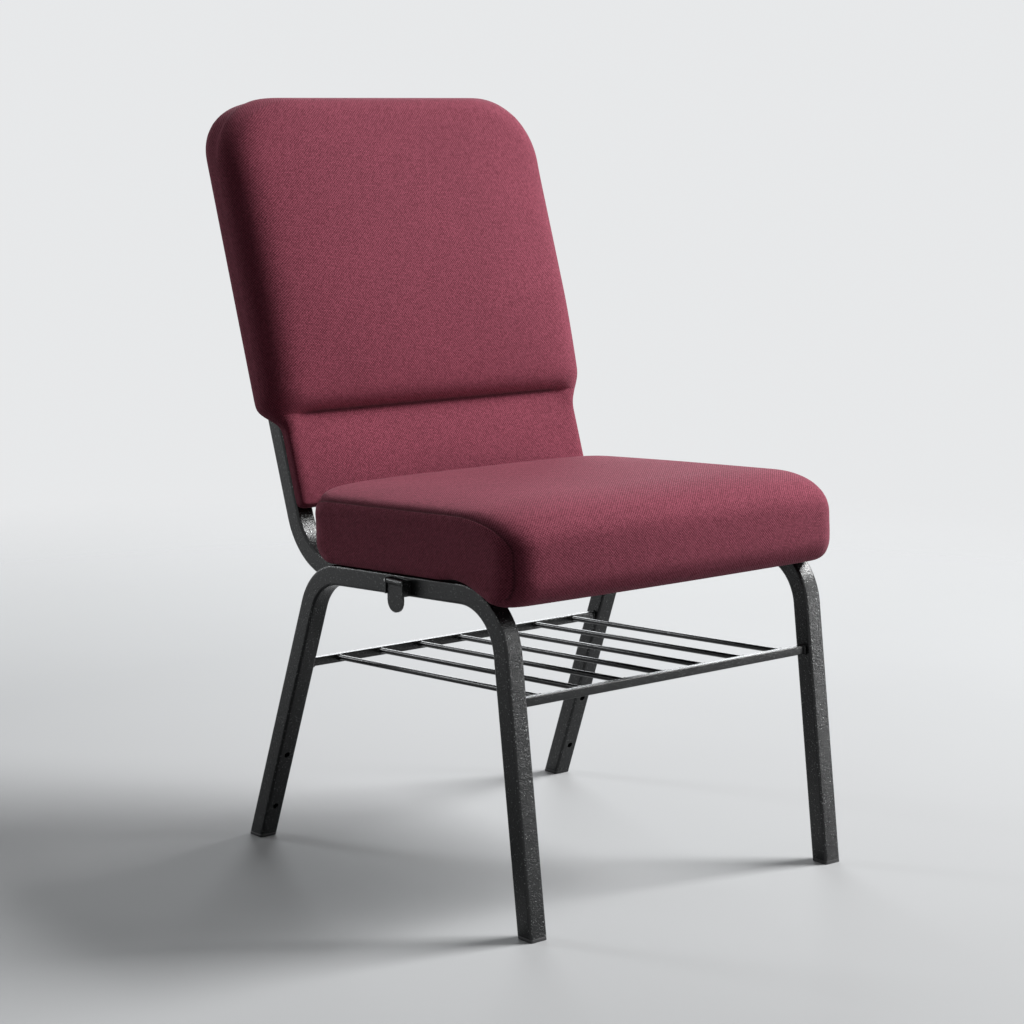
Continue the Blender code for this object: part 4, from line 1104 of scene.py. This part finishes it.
def arc(centre, deep, high, start, end, steps=14):
    """Points of an elliptic arc in the side view, angles in degrees."""
    angles = np.radians(np.linspace(start, end, steps + 1))
    return [(centre[0] + deep * math.cos(a), centre[1] + high * math.sin(a)) for a in angles]


def fade(value, reach):
    """How far a round of a given radius has drawn in, at a distance past its start."""
    past = min(max(value, 0.0), reach)
    return reach - math.sqrt(reach * reach - past * past)


def ease_in(value):
    """A smooth step from 0 to 1."""
    value = min(max(value, 0.0), 1.0)
    return value * value * (3 - 2 * value)


def seat_section(seat, middle, share):
    """The seat's side profile at a share of its half width, before its edges are rounded, as lines for its
    bottom, front, top and rear."""
    front = seat.front - middle + seat.nose_bow * share ** 2
    rear = seat.rear - middle
    top = seat.height + seat.crown * (1 - share ** 6)
    low = seat.bottom - seat.nose_drop
    foot = (front + seat.nose_foot, low + seat.nose_foot)
    nose = (front + seat.nose_depth, top - seat.nose_height)
    over = (rear - seat.rear_top, top - seat.rear_top)
    under = (rear - seat.rear_bottom, seat.bottom + seat.rear_bottom)
    tuck = seat.front + seat.tuck - middle
    bottom = arc(foot, seat.nose_foot, seat.nose_foot, 222, 265)
    bottom += [(tuck - seat.tuck_slope, seat.bottom - seat.nose_drop * 0.2), (tuck, seat.bottom)]
    bottom += arc(under, seat.rear_bottom, seat.rear_bottom, 270, 315)
    ahead = arc(foot, seat.nose_foot, seat.nose_foot, 222, 180)
    ahead += arc(nose, seat.nose_depth, seat.nose_height, 180, 135)
    crest = arc(nose, seat.nose_depth, seat.nose_height, 135, 91)
    span = over[0] - nose[0]
    crest += [(nose[0] + span * part, top + seat.swell * math.sin(math.pi * part) * (1 - share ** 2))
              for part in np.linspace(0.03, 0.97, 16)]
    crest += arc(over, seat.rear_top, seat.rear_top, 89, 45)
    behind = arc(under, seat.rear_bottom, seat.rear_bottom, -45, 0)
    behind += arc(over, seat.rear_top, seat.rear_top, 0, 45)
    return bottom, ahead, crest, behind


def outward(points, to_right):
    """Unit normals of a line in the side view, to the right of its run or to the left."""
    run = np.gradient(points, axis=0)
    run /= np.linalg.norm(run, axis=1)[:, None]
    normals = np.stack([-run[:, 1], run[:, 0]], axis=1)
    return -normals if to_right else normals


def edge_round(seat, normal):
    """Radius of the edge between a side panel and a surface that faces a way in the side view."""
    flat = seat.seam_round if normal[1] > 0 else seat.hem_round
    corner = seat.front_corner if normal[0] < 0 else seat.rear_corner
    return flat + (corner - flat) * normal[0] ** 2


def seat_column(seat, middle, place, shares):
    """One column's bottom, front, top and rear lines at a place from -1 to 1 across the seat, with the radii
    of the edges beside the side panels. The outermost column is the seam, half way round those edges."""
    half = seat.width / 2
    nose = seat.front - middle + seat.nose_depth
    rear = seat.rear - middle - seat.rear_top
    made = []
    for number, line in enumerate(seat_section(seat, middle, abs(place))):
        points = resample(line, shares[number % 2])
        normals = outward(points, number in (0, 3))
        radii = np.array([edge_round(seat, normal) for normal in normals])
        x = place * (half - SHORT_OF_ROUND * radii)
        for point, normal, at in zip(points, normals, abs(x)):
            ahead = ease_in(1 - (point[0] - nose) / seat.corner_blend)
            behind = ease_in(1 + (point[0] - rear) / seat.corner_blend)
            point[0] += fade(at - half + seat.front_corner, seat.front_corner) * ahead
            point[0] -= fade(at - half + seat.rear_corner, seat.rear_corner) * behind
            point[1] -= fade(at - half + seat.seam_round, seat.seam_round) * max(normal[1], 0)
            point[1] += fade(at - half + seat.under_round, seat.under_round) * max(-normal[1], 0) * ahead
        made.append((np.column_stack([x, points]), radii))
    return made


def patch(bottom, top, left, right, i, j, share_i, share_j):
    """A point inside four lines: the lines' own points at its row and column, blended."""
    across = (1 - share_i) * left[j] + share_i * right[j]
    along = (1 - share_j) * bottom[i] + share_j * top[i]
    corners = ((1 - share_i) * ((1 - share_j) * left[0] + share_j * left[-1])
               + share_i * ((1 - share_j) * right[0] + share_j * right[-1]))
    return across + along - corners


# Seams: width of the rows beside them, how far they are drawn in, how far and how often they pucker, and how
# strongly each seam is drawn in and darkened with painted shade.
SEAM_BAND = 0.0016
SEAM_DEPTH = 0.0013
SEAT_PUCKER = 0.0006
BACK_PUCKER = 0.0003
PUCKER_RATE = 130
SIDE_SEAM = 0.9
REAR_SEAM = 0.8
SIDE_SEAM_EASE = 0.22
SEAM_CREASE = 0.7
SEAM_NEIGHBOUR = 0.35


def shape_seat(block, seat, view):
    """Moves a block's grid into the seat's form and lays its cloth map. Gives the seams' strengths."""
    across, deep, high = block.counts
    half = seat.width / 2
    columns = rows(across, seat.width, SEAM_BAND) * 2 - 1
    depths = rows(deep, seat.rear - seat.front, SEAM_BAND)
    heights = rows(high, seat.height, SEAM_BAND)
    lines = [seat_column(seat, view.rail_middle.x, place, (depths, heights)) for place in columns]
    for vert, (i, j, k) in block.at.items():
        (bottom, _), (ahead, _), (crest, _), (behind, _) = lines[i]
        if k == 0:
            place = bottom[j]
        elif k == high:
            place = crest[j]
        elif j == 0:
            place = ahead[k]
        elif j == deep:
            place = behind[k]
        else:
            place = patch(bottom, crest, ahead, behind, j, k, depths[j], heights[k])
            rim = np.concatenate([line for line, _ in lines[i]])
            radii = np.concatenate([radius for _, radius in lines[i]])
            reach = np.hypot(*(rim[:, 1:] - place[1:]).T)
            near = int(reach.argmin())
            radius = radii[near]
            short = max(radius - SHORT_OF_ROUND * radius - reach[near], 0)
            drawn = radius - math.sqrt(radius ** 2 - short ** 2)
            drawn += seat.waist * math.sin(math.pi * heights[k]) * math.sin(math.pi * depths[j]) ** 0.5
            place[0] = math.copysign(half - drawn, columns[i])
        vert.co = view.seat @ Vector(place)
    lay_seat_map(block)
    seam = {}
    for vert, (i, j, k) in block.at.items():
        if i in (0, across) and k == high:
            seam[vert] = SIDE_SEAM + (1 - SIDE_SEAM) * ease_in(depths[j] / SIDE_SEAM_EASE)
        elif i in (0, across) and j == 0:
            seam[vert] = SIDE_SEAM
        elif k == high and j == deep:
            seam[vert] = REAR_SEAM
    return seam


def measured(block):
    """How far each grid point of a shaped block lies across, along and up, measured over its form."""
    grid = np.full([count + 1 for count in block.counts] + [3], np.nan)
    for vert, at in block.at.items():
        grid[at] = vert.co
    runs = []
    for axis in range(3):
        steps = np.linalg.norm(np.diff(grid, axis=axis), axis=-1)
        start = np.zeros_like(steps.take([0], axis=axis))
        runs.append(np.concatenate((start, np.cumsum(steps, axis=axis)), axis=axis))
    runs[0] -= runs[0][block.counts[0] // 2]
    return runs


def lay_seat_map(block):
    """The cloth map in metres: the top panel runs over the nose, and the side panels lie straight."""
    _, deep, high = block.counts
    wide, along, up = measured(block)
    for face in block.bm.faces:
        axis, end = block.side(face)
        for loop in face.loops:
            at = block.at[loop.vert]
            i = at[0]
            if axis == 0:
                place = loop.vert.co.yz
            elif axis == 2:
                place = (wide[at], along[at] if end else -up[i, 0, high] - along[at])
            elif end:
                place = (wide[at], along[i, deep, high] + up[i, deep, high] - up[at])
            else:
                place = (wide[at], up[at] - up[i, 0, high])
            loop[block.cloth].uv = place


# The back: least radii of its corners where its outline is drawn in, round of the lumbar part's rear edge,
# and width of the step under the rear panel.
LEAST_TOP = 0.002
LEAST_LOW = 0.001
LUMBAR_REAR_ROUND = 0.003
REAR_STEP = 0.012


def outline_x(back, half, z, inset, corner):
    """Half width of the back's outline at a height, drawn in by an inset."""
    corner = max(corner - inset, LEAST_TOP)
    low = max(back.low_corner - inset, LEAST_LOW)
    x = half - inset
    x -= fade(z - (back.top - inset - corner), corner)
    x -= fade(back.bottom + inset + low - z, low)
    return x


class BackForm:
    """Depths, widths and rounds of the back cushion at each height."""

    def __init__(self, back):
        self.back = back

    def upper(self, z, reach):
        """How much a height belongs to the upper cushion, from 0 to 1, over a reach round the crease."""
        return ease_in((z - self.back.crease) / reach + 0.5)

    def shouldered(self, z):
        """How much a height belongs to the upper cushion, along the shoulder's curve."""
        return self.upper(z, 2 * self.back.shoulder)

    def half(self, z):
        """Half width at a height, with the shoulder's curve."""
        back = self.back
        return (back.lumbar_width + (back.width - back.lumbar_width) * self.shouldered(z)) / 2

    def front_round(self, z):
        """Round of the front edge at a height."""
        back = self.back
        high = ease_in((z - back.top) / back.top_reach + 1)
        upper = back.front_round + (back.top_round - back.front_round) * high
        return back.lumbar_round + (upper - back.lumbar_round) * self.shouldered(z)

    def spread_roll(self, x, z):
        """A place on the front, moved inwards so that the round at the sides is as wide as the side roll."""
        back = self.back
        radius = self.front_round(z)
        wide = radius + (back.side_roll - back.front_round) * self.shouldered(z)
        end = outline_x(back, self.half(z), z, 0, back.corner)
        inside = end - abs(x)
        reach = end * 0.7
        if inside < radius:
            inside *= wide / radius
        elif inside < reach:
            inside = wide + (inside - radius) * (reach - wide) / (reach - radius)
        return math.copysign(end - inside, x)

    def rear_round(self, z):
        """Round of the rear edge at a height."""
        return LUMBAR_REAR_ROUND + (self.back.rear_round - LUMBAR_REAR_ROUND) * self.shouldered(z)

    def side(self, x, z):
        """How much a place belongs to the sides, where the crease has run out, from 0 to 1."""
        return ease_in((abs(x) - self.half(z)) / self.back.side_blend + 1)

    def front(self, x, z):
        """Depth of the front at a place, without its crown."""
        back = self.back
        above = z - back.crease
        low = -back.lumbar_front
        tucked = -back.front + back.tuck * max(1 - max(above, 0) / back.tuck_reach, 0) ** 1.5
        step = -back.front + back.tuck - low
        curled = low
        if above > 0:
            curled = tucked + (0.001 - step) * fade(back.curl - above, back.curl) / back.curl
        smooth = low + (tucked - low) * ease_in(above / (2.4 * back.shoulder) + 0.5)
        return curled + (smooth - curled) * self.side(x, z)

    def rear(self, x, z):
        """Depth of the rear at a place: a step between the uprights, and a long curve at the sides."""
        back = self.back
        side = ease_in((abs(x) - back.step_end) / REAR_STEP)
        step = self.upper(z + REAR_STEP, REAR_STEP)
        share = step + (self.upper(z, 1.5 * back.shoulder) - step) * side
        return back.lumbar_rear + (back.rear - back.lumbar_rear) * share

    def crown(self, x, z):
        """How far the front swells at a place."""
        back = self.back
        flat = 1 - min(abs(x) / self.half(z), 1) ** 3.2
        above = z - back.crease
        if above < 0:
            share = min(max((z - back.bottom) / (back.crease - back.bottom), 0), 1)
            return back.lumbar_crown * flat * math.sin(math.pi * share)
        share = min(above / (back.top - back.crease), 1)
        return back.crown * flat * math.sin(math.pi * share) ** 0.6

    def edge(self, x, z, radius, corner):
        """How far a face's edge has rounded away at a place, for a round of a given radius."""
        half = self.half(z)
        right = abs(x) - (half - corner)
        over = z - (self.back.top - corner)
        if right > 0 and over > 0:
            inside = corner - math.hypot(right, over)
        else:
            inside = min(half - abs(x), self.back.top - z, z - self.back.bottom)
        return fade(radius - inside, radius)


def shape_back(block, back, view):
    """Moves a block's grid into the back's form and lays its cloth map. Gives the crease's strengths."""
    across, deep, _ = block.counts
    form = BackForm(back)
    sides = np.linspace(0, 1, across + 1)
    low = rows(back.low_rows, back.crease - back.bottom, SEAM_BAND)
    up = rows(back.high_rows, back.top - back.crease, SEAM_BAND)

    def height(k, inset, corner):
        """The height of a row at the sides of an outline drawn in by an inset."""
        bottom = back.bottom + inset + SHORT_OF_ROUND * max(back.low_corner - inset, LEAST_LOW)
        top = back.top - inset - SHORT_OF_ROUND * max(corner - inset, LEAST_TOP)
        if k <= back.low_rows:
            return bottom + (back.crease - bottom) * low[k]
        return back.crease + (top - back.crease) * up[k - back.low_rows]

    def outline(i, k, inset, corner):
        """A point on or inside an outline drawn in by an inset: ruled rows, bowed at the top and bottom."""
        z = height(k, inset, corner)
        x = outline_x(back, form.half(z), z, inset, corner) * (2 * sides[i] - 1)
        round_top = max(corner - inset, LEAST_TOP)
        if k > back.low_rows:
            share = (k - back.low_rows) / back.high_rows
            start = form.half(back.top) - inset - round_top
            bow = SHORT_OF_ROUND * round_top - fade(abs(x) - start, round_top)
            z += max(bow, 0) * share ** 5
        elif 0 < sides[i] < 1:
            share = 1 - k / back.low_rows
            z -= SHORT_OF_ROUND * max(back.low_corner - inset, LEAST_LOW) * share ** 5
        return x, z

    for vert, (i, j, k) in block.at.items():
        z = height(k, 0, back.corner)
        front_round = form.front_round(z)
        rear_round = form.rear_round(z)
        if j == 0:
            x, z = outline(i, k, SHORT_OF_ROUND * front_round, back.corner)
            y = form.front(x, z) - form.crown(x, z) + form.edge(x, z, front_round, back.corner)
            x = form.spread_roll(x, z)
        elif j == deep:
            x, z = outline(i, k, SHORT_OF_ROUND * rear_round, back.rear_corner)
            y = form.rear(x, z) - form.edge(x, z, rear_round, back.rear_corner)
        else:
            x, y, z = wall_point(block, back, form, outline, i, j, k, (z, front_round, rear_round))
        vert.co = view.back @ Vector((x, y, z))
    lay_back_map(block)
    end = back.lumbar_width / 2 - back.side_blend / 3
    return {vert: ease_in((end - abs(vert.co.x)) / back.side_blend) for vert, (_, j, k) in block.at.items()
            if k == back.low_rows and j == 0}


def wall_point(block, back, form, outline, i, j, k, at):
    """A point of the wall between the front and rear edges of the back."""
    z, front_round, rear_round = at
    deep = block.counts[1]
    turns = max(deep // 4, 1)
    front = form.front(form.half(z), z)
    rear = form.rear(form.half(z), z)
    if j <= turns:
        swing = math.radians(45 + 45 * j / turns)
        inset = front_round * (1 - math.sin(swing))
        y = front + front_round * (1 - math.cos(swing))
    elif j >= deep - turns:
        swing = math.radians(45 + 45 * (deep - j) / turns)
        inset = rear_round * (1 - math.sin(swing))
        y = rear - rear_round * (1 - math.cos(swing))
    else:
        share = (j - turns) / (deep - 2 * turns)
        inset = 0
        y = (front + front_round) * (1 - share) + (rear - rear_round) * share
    corner = back.corner + (back.rear_corner - back.corner) * j / deep
    x, z = outline(i, k, inset, corner)
    if j <= turns:
        x = form.spread_roll(x, z)
    return x, y, z


def lay_back_map(block):
    """The cloth map in metres: front and rear from the middle, and the wall along the front's rim."""
    across, _, high = block.counts
    wide, off, tall = measured(block)
    for face in block.bm.faces:
        axis, end = block.side(face)
        for loop in face.loops:
            at = block.at[loop.vert]
            i, _, k = at
            if axis == 1:
                place = (wide[at], tall[at])
            elif axis == 0:
                edge = wide[i, 0, high // 2]
                place = (edge + math.copysign(off[at], edge), tall[i, 0, k])
            else:
                edge = tall[across // 2, 0, k]
                place = (wide[i, 0, k], edge + off[at] if end else edge - off[at])
            loop[block.cloth].uv = place


def mark_seam(block, seam):
    """Stores how near each point is to a seam, for its depth and painted shade, and keeps the seam's edges
    crisp.
    """
    for vert, depth in seam.items():
        vert[block.seam] = depth
        for edge in vert.link_edges:
            other = edge.other_vert(vert)
            if other in seam:
                edge[block.crease] = SEAM_CREASE * depth
            else:
                other[block.seam] = max(other[block.seam], SEAM_NEIGHBOUR * depth)


# The covers' cloth, the steps over which they fill, and how loosely their freest points are held.
COVER = {"quality": 4, "mass": 0.3, "tension_stiffness": 30, "compression_stiffness": 30,
         "shear_stiffness": 15, "bending_stiffness": 2, "use_pressure": True}
FILL_STEPS = 20
FREE = 0.15
SEAT_HOLD = 4
BACK_HOLD = 6


def inflate(made, pinned, pressure, limit):
    """Fills a cover with air by cloth simulation, held at its pinned points, and keeps the result."""
    group = made.vertex_groups.new(name="pinned")
    for index, weight in pinned.items():
        group.add([index], weight, "REPLACE")
    cloth = made.modifiers.new("cover", "CLOTH")
    for name, value in COVER.items():
        setattr(cloth.settings, name, value)
    cloth.settings.uniform_pressure_force = pressure
    cloth.settings.effector_weights.gravity = 0
    cloth.settings.vertex_group_mass = group.name
    cloth.collision_settings.use_collision = False
    cloth.point_cache.frame_start = 1
    cloth.point_cache.frame_end = FILL_STEPS
    for step in range(1, FILL_STEPS + 1):
        bpy.context.scene.frame_set(step)
    evaluated = made.evaluated_get(bpy.context.evaluated_depsgraph_get())
    filled = [vert.co.copy() for vert in evaluated.data.vertices]
    made.modifiers.remove(cloth)
    made.vertex_groups.remove(group)
    for vert, place in zip(made.data.vertices, filled):
        move = place - vert.co
        if move.length > limit:
            move *= limit / move.length
        vert.co += move


def sink_seams(made, pucker):
    """Draws the seams in along the surface's normal, with a slight pucker from stitch to stitch."""
    seam = made.data.attributes["seam"].data
    normals = [vert.normal.copy() for vert in made.data.vertices]
    for vert, mark, normal in zip(made.data.vertices, seam, normals):
        if mark.value > 0:
            waver = noise.noise(vert.co * PUCKER_RATE) * pucker
            vert.co -= normal * (SEAM_DEPTH * mark.value ** 2 + waver * mark.value)


def finish_cushion(made):
    """Smooth shading and one subdivision."""
    made.data.shade_smooth()
    subdivision = made.modifiers.new("smooth", "SUBSURF")
    subdivision.levels = 1
    subdivision.render_levels = 1


class HALLCHAIR_OT_seat_cushion(bpy.types.Operator):
    """Shapes the seat cushion, fills its cover and draws its seams in"""
    bl_idname = "hallchair.seat_cushion"
    bl_label = "Seat cushion"

    def execute(self, context):
        seat = context.scene.hall_chair_seat
        view = SideView(context.scene.hall_chair_frame)
        block = Block(seat.across, seat.deep, seat.high)
        mark_seam(block, shape_seat(block, seat, view))
        block.bm.verts.index_update()
        across, _, high = block.counts
        held = {}
        for vert, (i, j, k) in block.at.items():
            below = SEAT_HOLD if k == high or j == 0 else high - k
            near = min(i, across - i, below) / SEAT_HOLD
            held[vert.index] = 1.0 if k == 0 else max(FREE, 1 - near)
        made = add_piece(block.bm, "seat_cushion", "wine_tweed", ["seat_cover", "seat_foam"])
        inflate(made, held, seat.pressure, seat.swell_limit)
        sink_seams(made, SEAT_PUCKER)
        finish_cushion(made)
        return {"FINISHED"}


class HALLCHAIR_OT_back_cushion(bpy.types.Operator):
    """Shapes the back cushion with its lumbar part, fills its cover and draws the crease in"""
    bl_idname = "hallchair.back_cushion"
    bl_label = "Back cushion"

    def execute(self, context):
        back = context.scene.hall_chair_back
        view = SideView(context.scene.hall_chair_frame)
        block = Block(back.across, back.deep, back.low_rows + back.high_rows)
        mark_seam(block, shape_back(block, back, view))
        block.bm.verts.index_update()
        held = {}
        for vert, (_, j, k) in block.at.items():
            near = min(abs(k - back.low_rows) / BACK_HOLD, 1)
            held[vert.index] = max(1 - near, FREE) if j == 0 else 1.0
        made = add_piece(block.bm, "back_cushion", "wine_tweed",
                         ["back_cover", "back_foam", "lumbar_cover", "lumbar_foam"])
        inflate(made, held, back.pressure, back.swell_limit)
        sink_seams(made, BACK_PUCKER)
        finish_cushion(made)
        return {"FINISHED"}


# Studio

# Lamps: place, size, power and tint.
AIM = Vector((0, 0, 0.45))
NEUTRAL = (1, 1, 1)
COOL = (0.95, 0.98, 1.0)
LAMPS = {
    "key": ((3.6, -1.5, 3.8), 1.9, 385, NEUTRAL),
    "front": ((3.9, -3.2, 0.45), 0.7, 46, NEUTRAL),
    "strip": ((3.6, -3.5, 2.2), 1.0, 26, NEUTRAL),
    "window": ((2.2, 3.0, 1.6), 1.8, 50, COOL),
    "skylight": ((-1.9, 3.3, 1.9), 0.9, 30, COOL),
}
FLOOR_RADIUS = 9
FLOOR_CLEAR = 1.0
FLOOR_BOUNCE = (0.07, 0.07, 0.072, 1.0)
SENSOR = 36


def area_light(name, place, size, power, tint):
    """A soft square lamp that faces the chair."""
    lamp = bpy.data.lights.new(name, "AREA")
    lamp.size = size
    lamp.energy = power
    lamp.color = tint
    made = bpy.data.objects.new(name, lamp)
    made.location = place
    made.rotation_euler = (AIM - Vector(place)).to_track_quat("-Z", "Y").to_euler()
    bpy.context.scene.collection.objects.link(made)


class HALLCHAIR_OT_studio(bpy.types.Operator):
    """Sets the pale floor, the soft lamps, the surroundings and the camera"""
    bl_idname = "hallchair.studio"
    bl_label = "Studio"

    def execute(self, context):
        scene = context.scene
        stage = scene.hall_chair_stage
        self.lay_floor(scene, stage)
        self.surroundings(scene, stage)
        for name, values in LAMPS.items():
            area_light(name, *values)
        lens = bpy.data.cameras.new("camera")
        lens.lens = stage.lens
        lens.sensor_width = SENSOR
        camera = bpy.data.objects.new("camera", lens)
        camera.location = stage.camera
        camera.rotation_euler = (QUARTER - stage.camera_down, 0, -stage.camera_turn)
        scene.collection.objects.link(camera)
        scene.camera = camera
        scene.view_settings.view_transform = "Standard"
        return {"FINISHED"}

    def lay_floor(self, scene, stage):
        """A pale floor that fades into the surround, and throws less light up than it shows."""
        bm = bmesh.new()
        bmesh.ops.create_circle(bm, cap_ends=True, segments=96, radius=FLOOR_RADIUS)
        mesh = bpy.data.meshes.new("studio_floor")
        bm.to_mesh(mesh)
        bm.free()
        made, tree, shader = blank_material("pale_floor")
        place = put(tree, "ShaderNodeTexCoord").outputs["Object"]
        cloud = put(tree, "ShaderNodeTexNoise", {"Vector": place, "Scale": 1.2, "Detail": 3.0}).outputs[0]
        pale = toned(tree, rgba(stage.floor), spread(tree, cloud, *NOISE, 0.98, 1.02))
        base = blend_colours(tree, seen_rays(tree), FLOOR_BOUNCE, pale)
        out = put(tree, "ShaderNodeVectorMath", {0: place}, operation="LENGTH").outputs["Value"]
        set_inputs(tree, shader, Base_Color=base, Roughness=0.75,
                   Alpha=spread(tree, out, FLOOR_CLEAR, stage.floor_reach, 1.0, 0.0))
        mesh.materials.append(made)
        floor = bpy.data.objects.new("studio_floor", mesh)
        scene.collection.objects.link(floor)

    def surroundings(self, scene, stage):
        """Even soft light, with a pale surround for what the camera and reflections see."""
        world = bpy.data.worlds.new("studio")
        world.use_nodes = True
        tree = world.node_tree
        light = tree.nodes["Background"]
        light.inputs["Color"].default_value = (1, 1, 1, 1)
        light.inputs["Strength"].default_value = stage.ambient
        pale = put(tree, "ShaderNodeBackground", {"Color": rgba(stage.wall), "Strength": 1.0})
        mixed = put(tree, "ShaderNodeMixShader",
                    {0: seen_rays(tree), 1: light.outputs[0], 2: pale.outputs[0]})
        tree.links.new(mixed.outputs[0], tree.nodes["World Output"].inputs["Surface"])
        scene.world = world


STEPS = (HALLCHAIR_OT_side_frames, HALLCHAIR_OT_uprights, HALLCHAIR_OT_cross_rails, HALLCHAIR_OT_book_rack,
         HALLCHAIR_OT_welds, HALLCHAIR_OT_gang_hardware, HALLCHAIR_OT_glides, HALLCHAIR_OT_screws,
         HALLCHAIR_OT_dust_cloth, HALLCHAIR_OT_seat_cushion, HALLCHAIR_OT_back_cushion,
         HALLCHAIR_OT_hidden_parts, HALLCHAIR_OT_studio)


class HALLCHAIR_PT_panel(bpy.types.Panel):
    """Lists the chair's pieces in the sidebar"""
    bl_idname = "HALLCHAIR_PT_panel"
    bl_label = "Hall Chair"
    bl_space_type = "VIEW_3D"
    bl_region_type = "UI"
    bl_category = "Hall Chair"

    def draw(self, context):
        for step in STEPS:
            self.layout.operator(step.bl_idname)


GROUPS = {"hall_chair_frame": HallChairFrame, "hall_chair_rack": HallChairRack,
          "hall_chair_seat": HallChairSeat, "hall_chair_back": HallChairBack,
          "hall_chair_finish": HallChairFinish, "hall_chair_stage": HallChairStage}


def register():
    """Registers the properties, the operators and the panel."""
    for name, group in GROUPS.items():
        bpy.utils.register_class(group)
        setattr(bpy.types.Scene, name, bpy.props.PointerProperty(type=group))
    for step in STEPS:
        bpy.utils.register_class(step)
    bpy.utils.register_class(HALLCHAIR_PT_panel)


def unregister():
    """Takes them out again."""
    bpy.utils.unregister_class(HALLCHAIR_PT_panel)
    for step in reversed(STEPS):
        bpy.utils.unregister_class(step)
    for name, group in reversed(GROUPS.items()):
        delattr(bpy.types.Scene, name)
        bpy.utils.unregister_class(group)


def main():
    register()
    for step in STEPS:
        family, name = step.bl_idname.split(".")
        getattr(getattr(bpy.ops, family), name)()


if __name__ == "__main__":
    main()
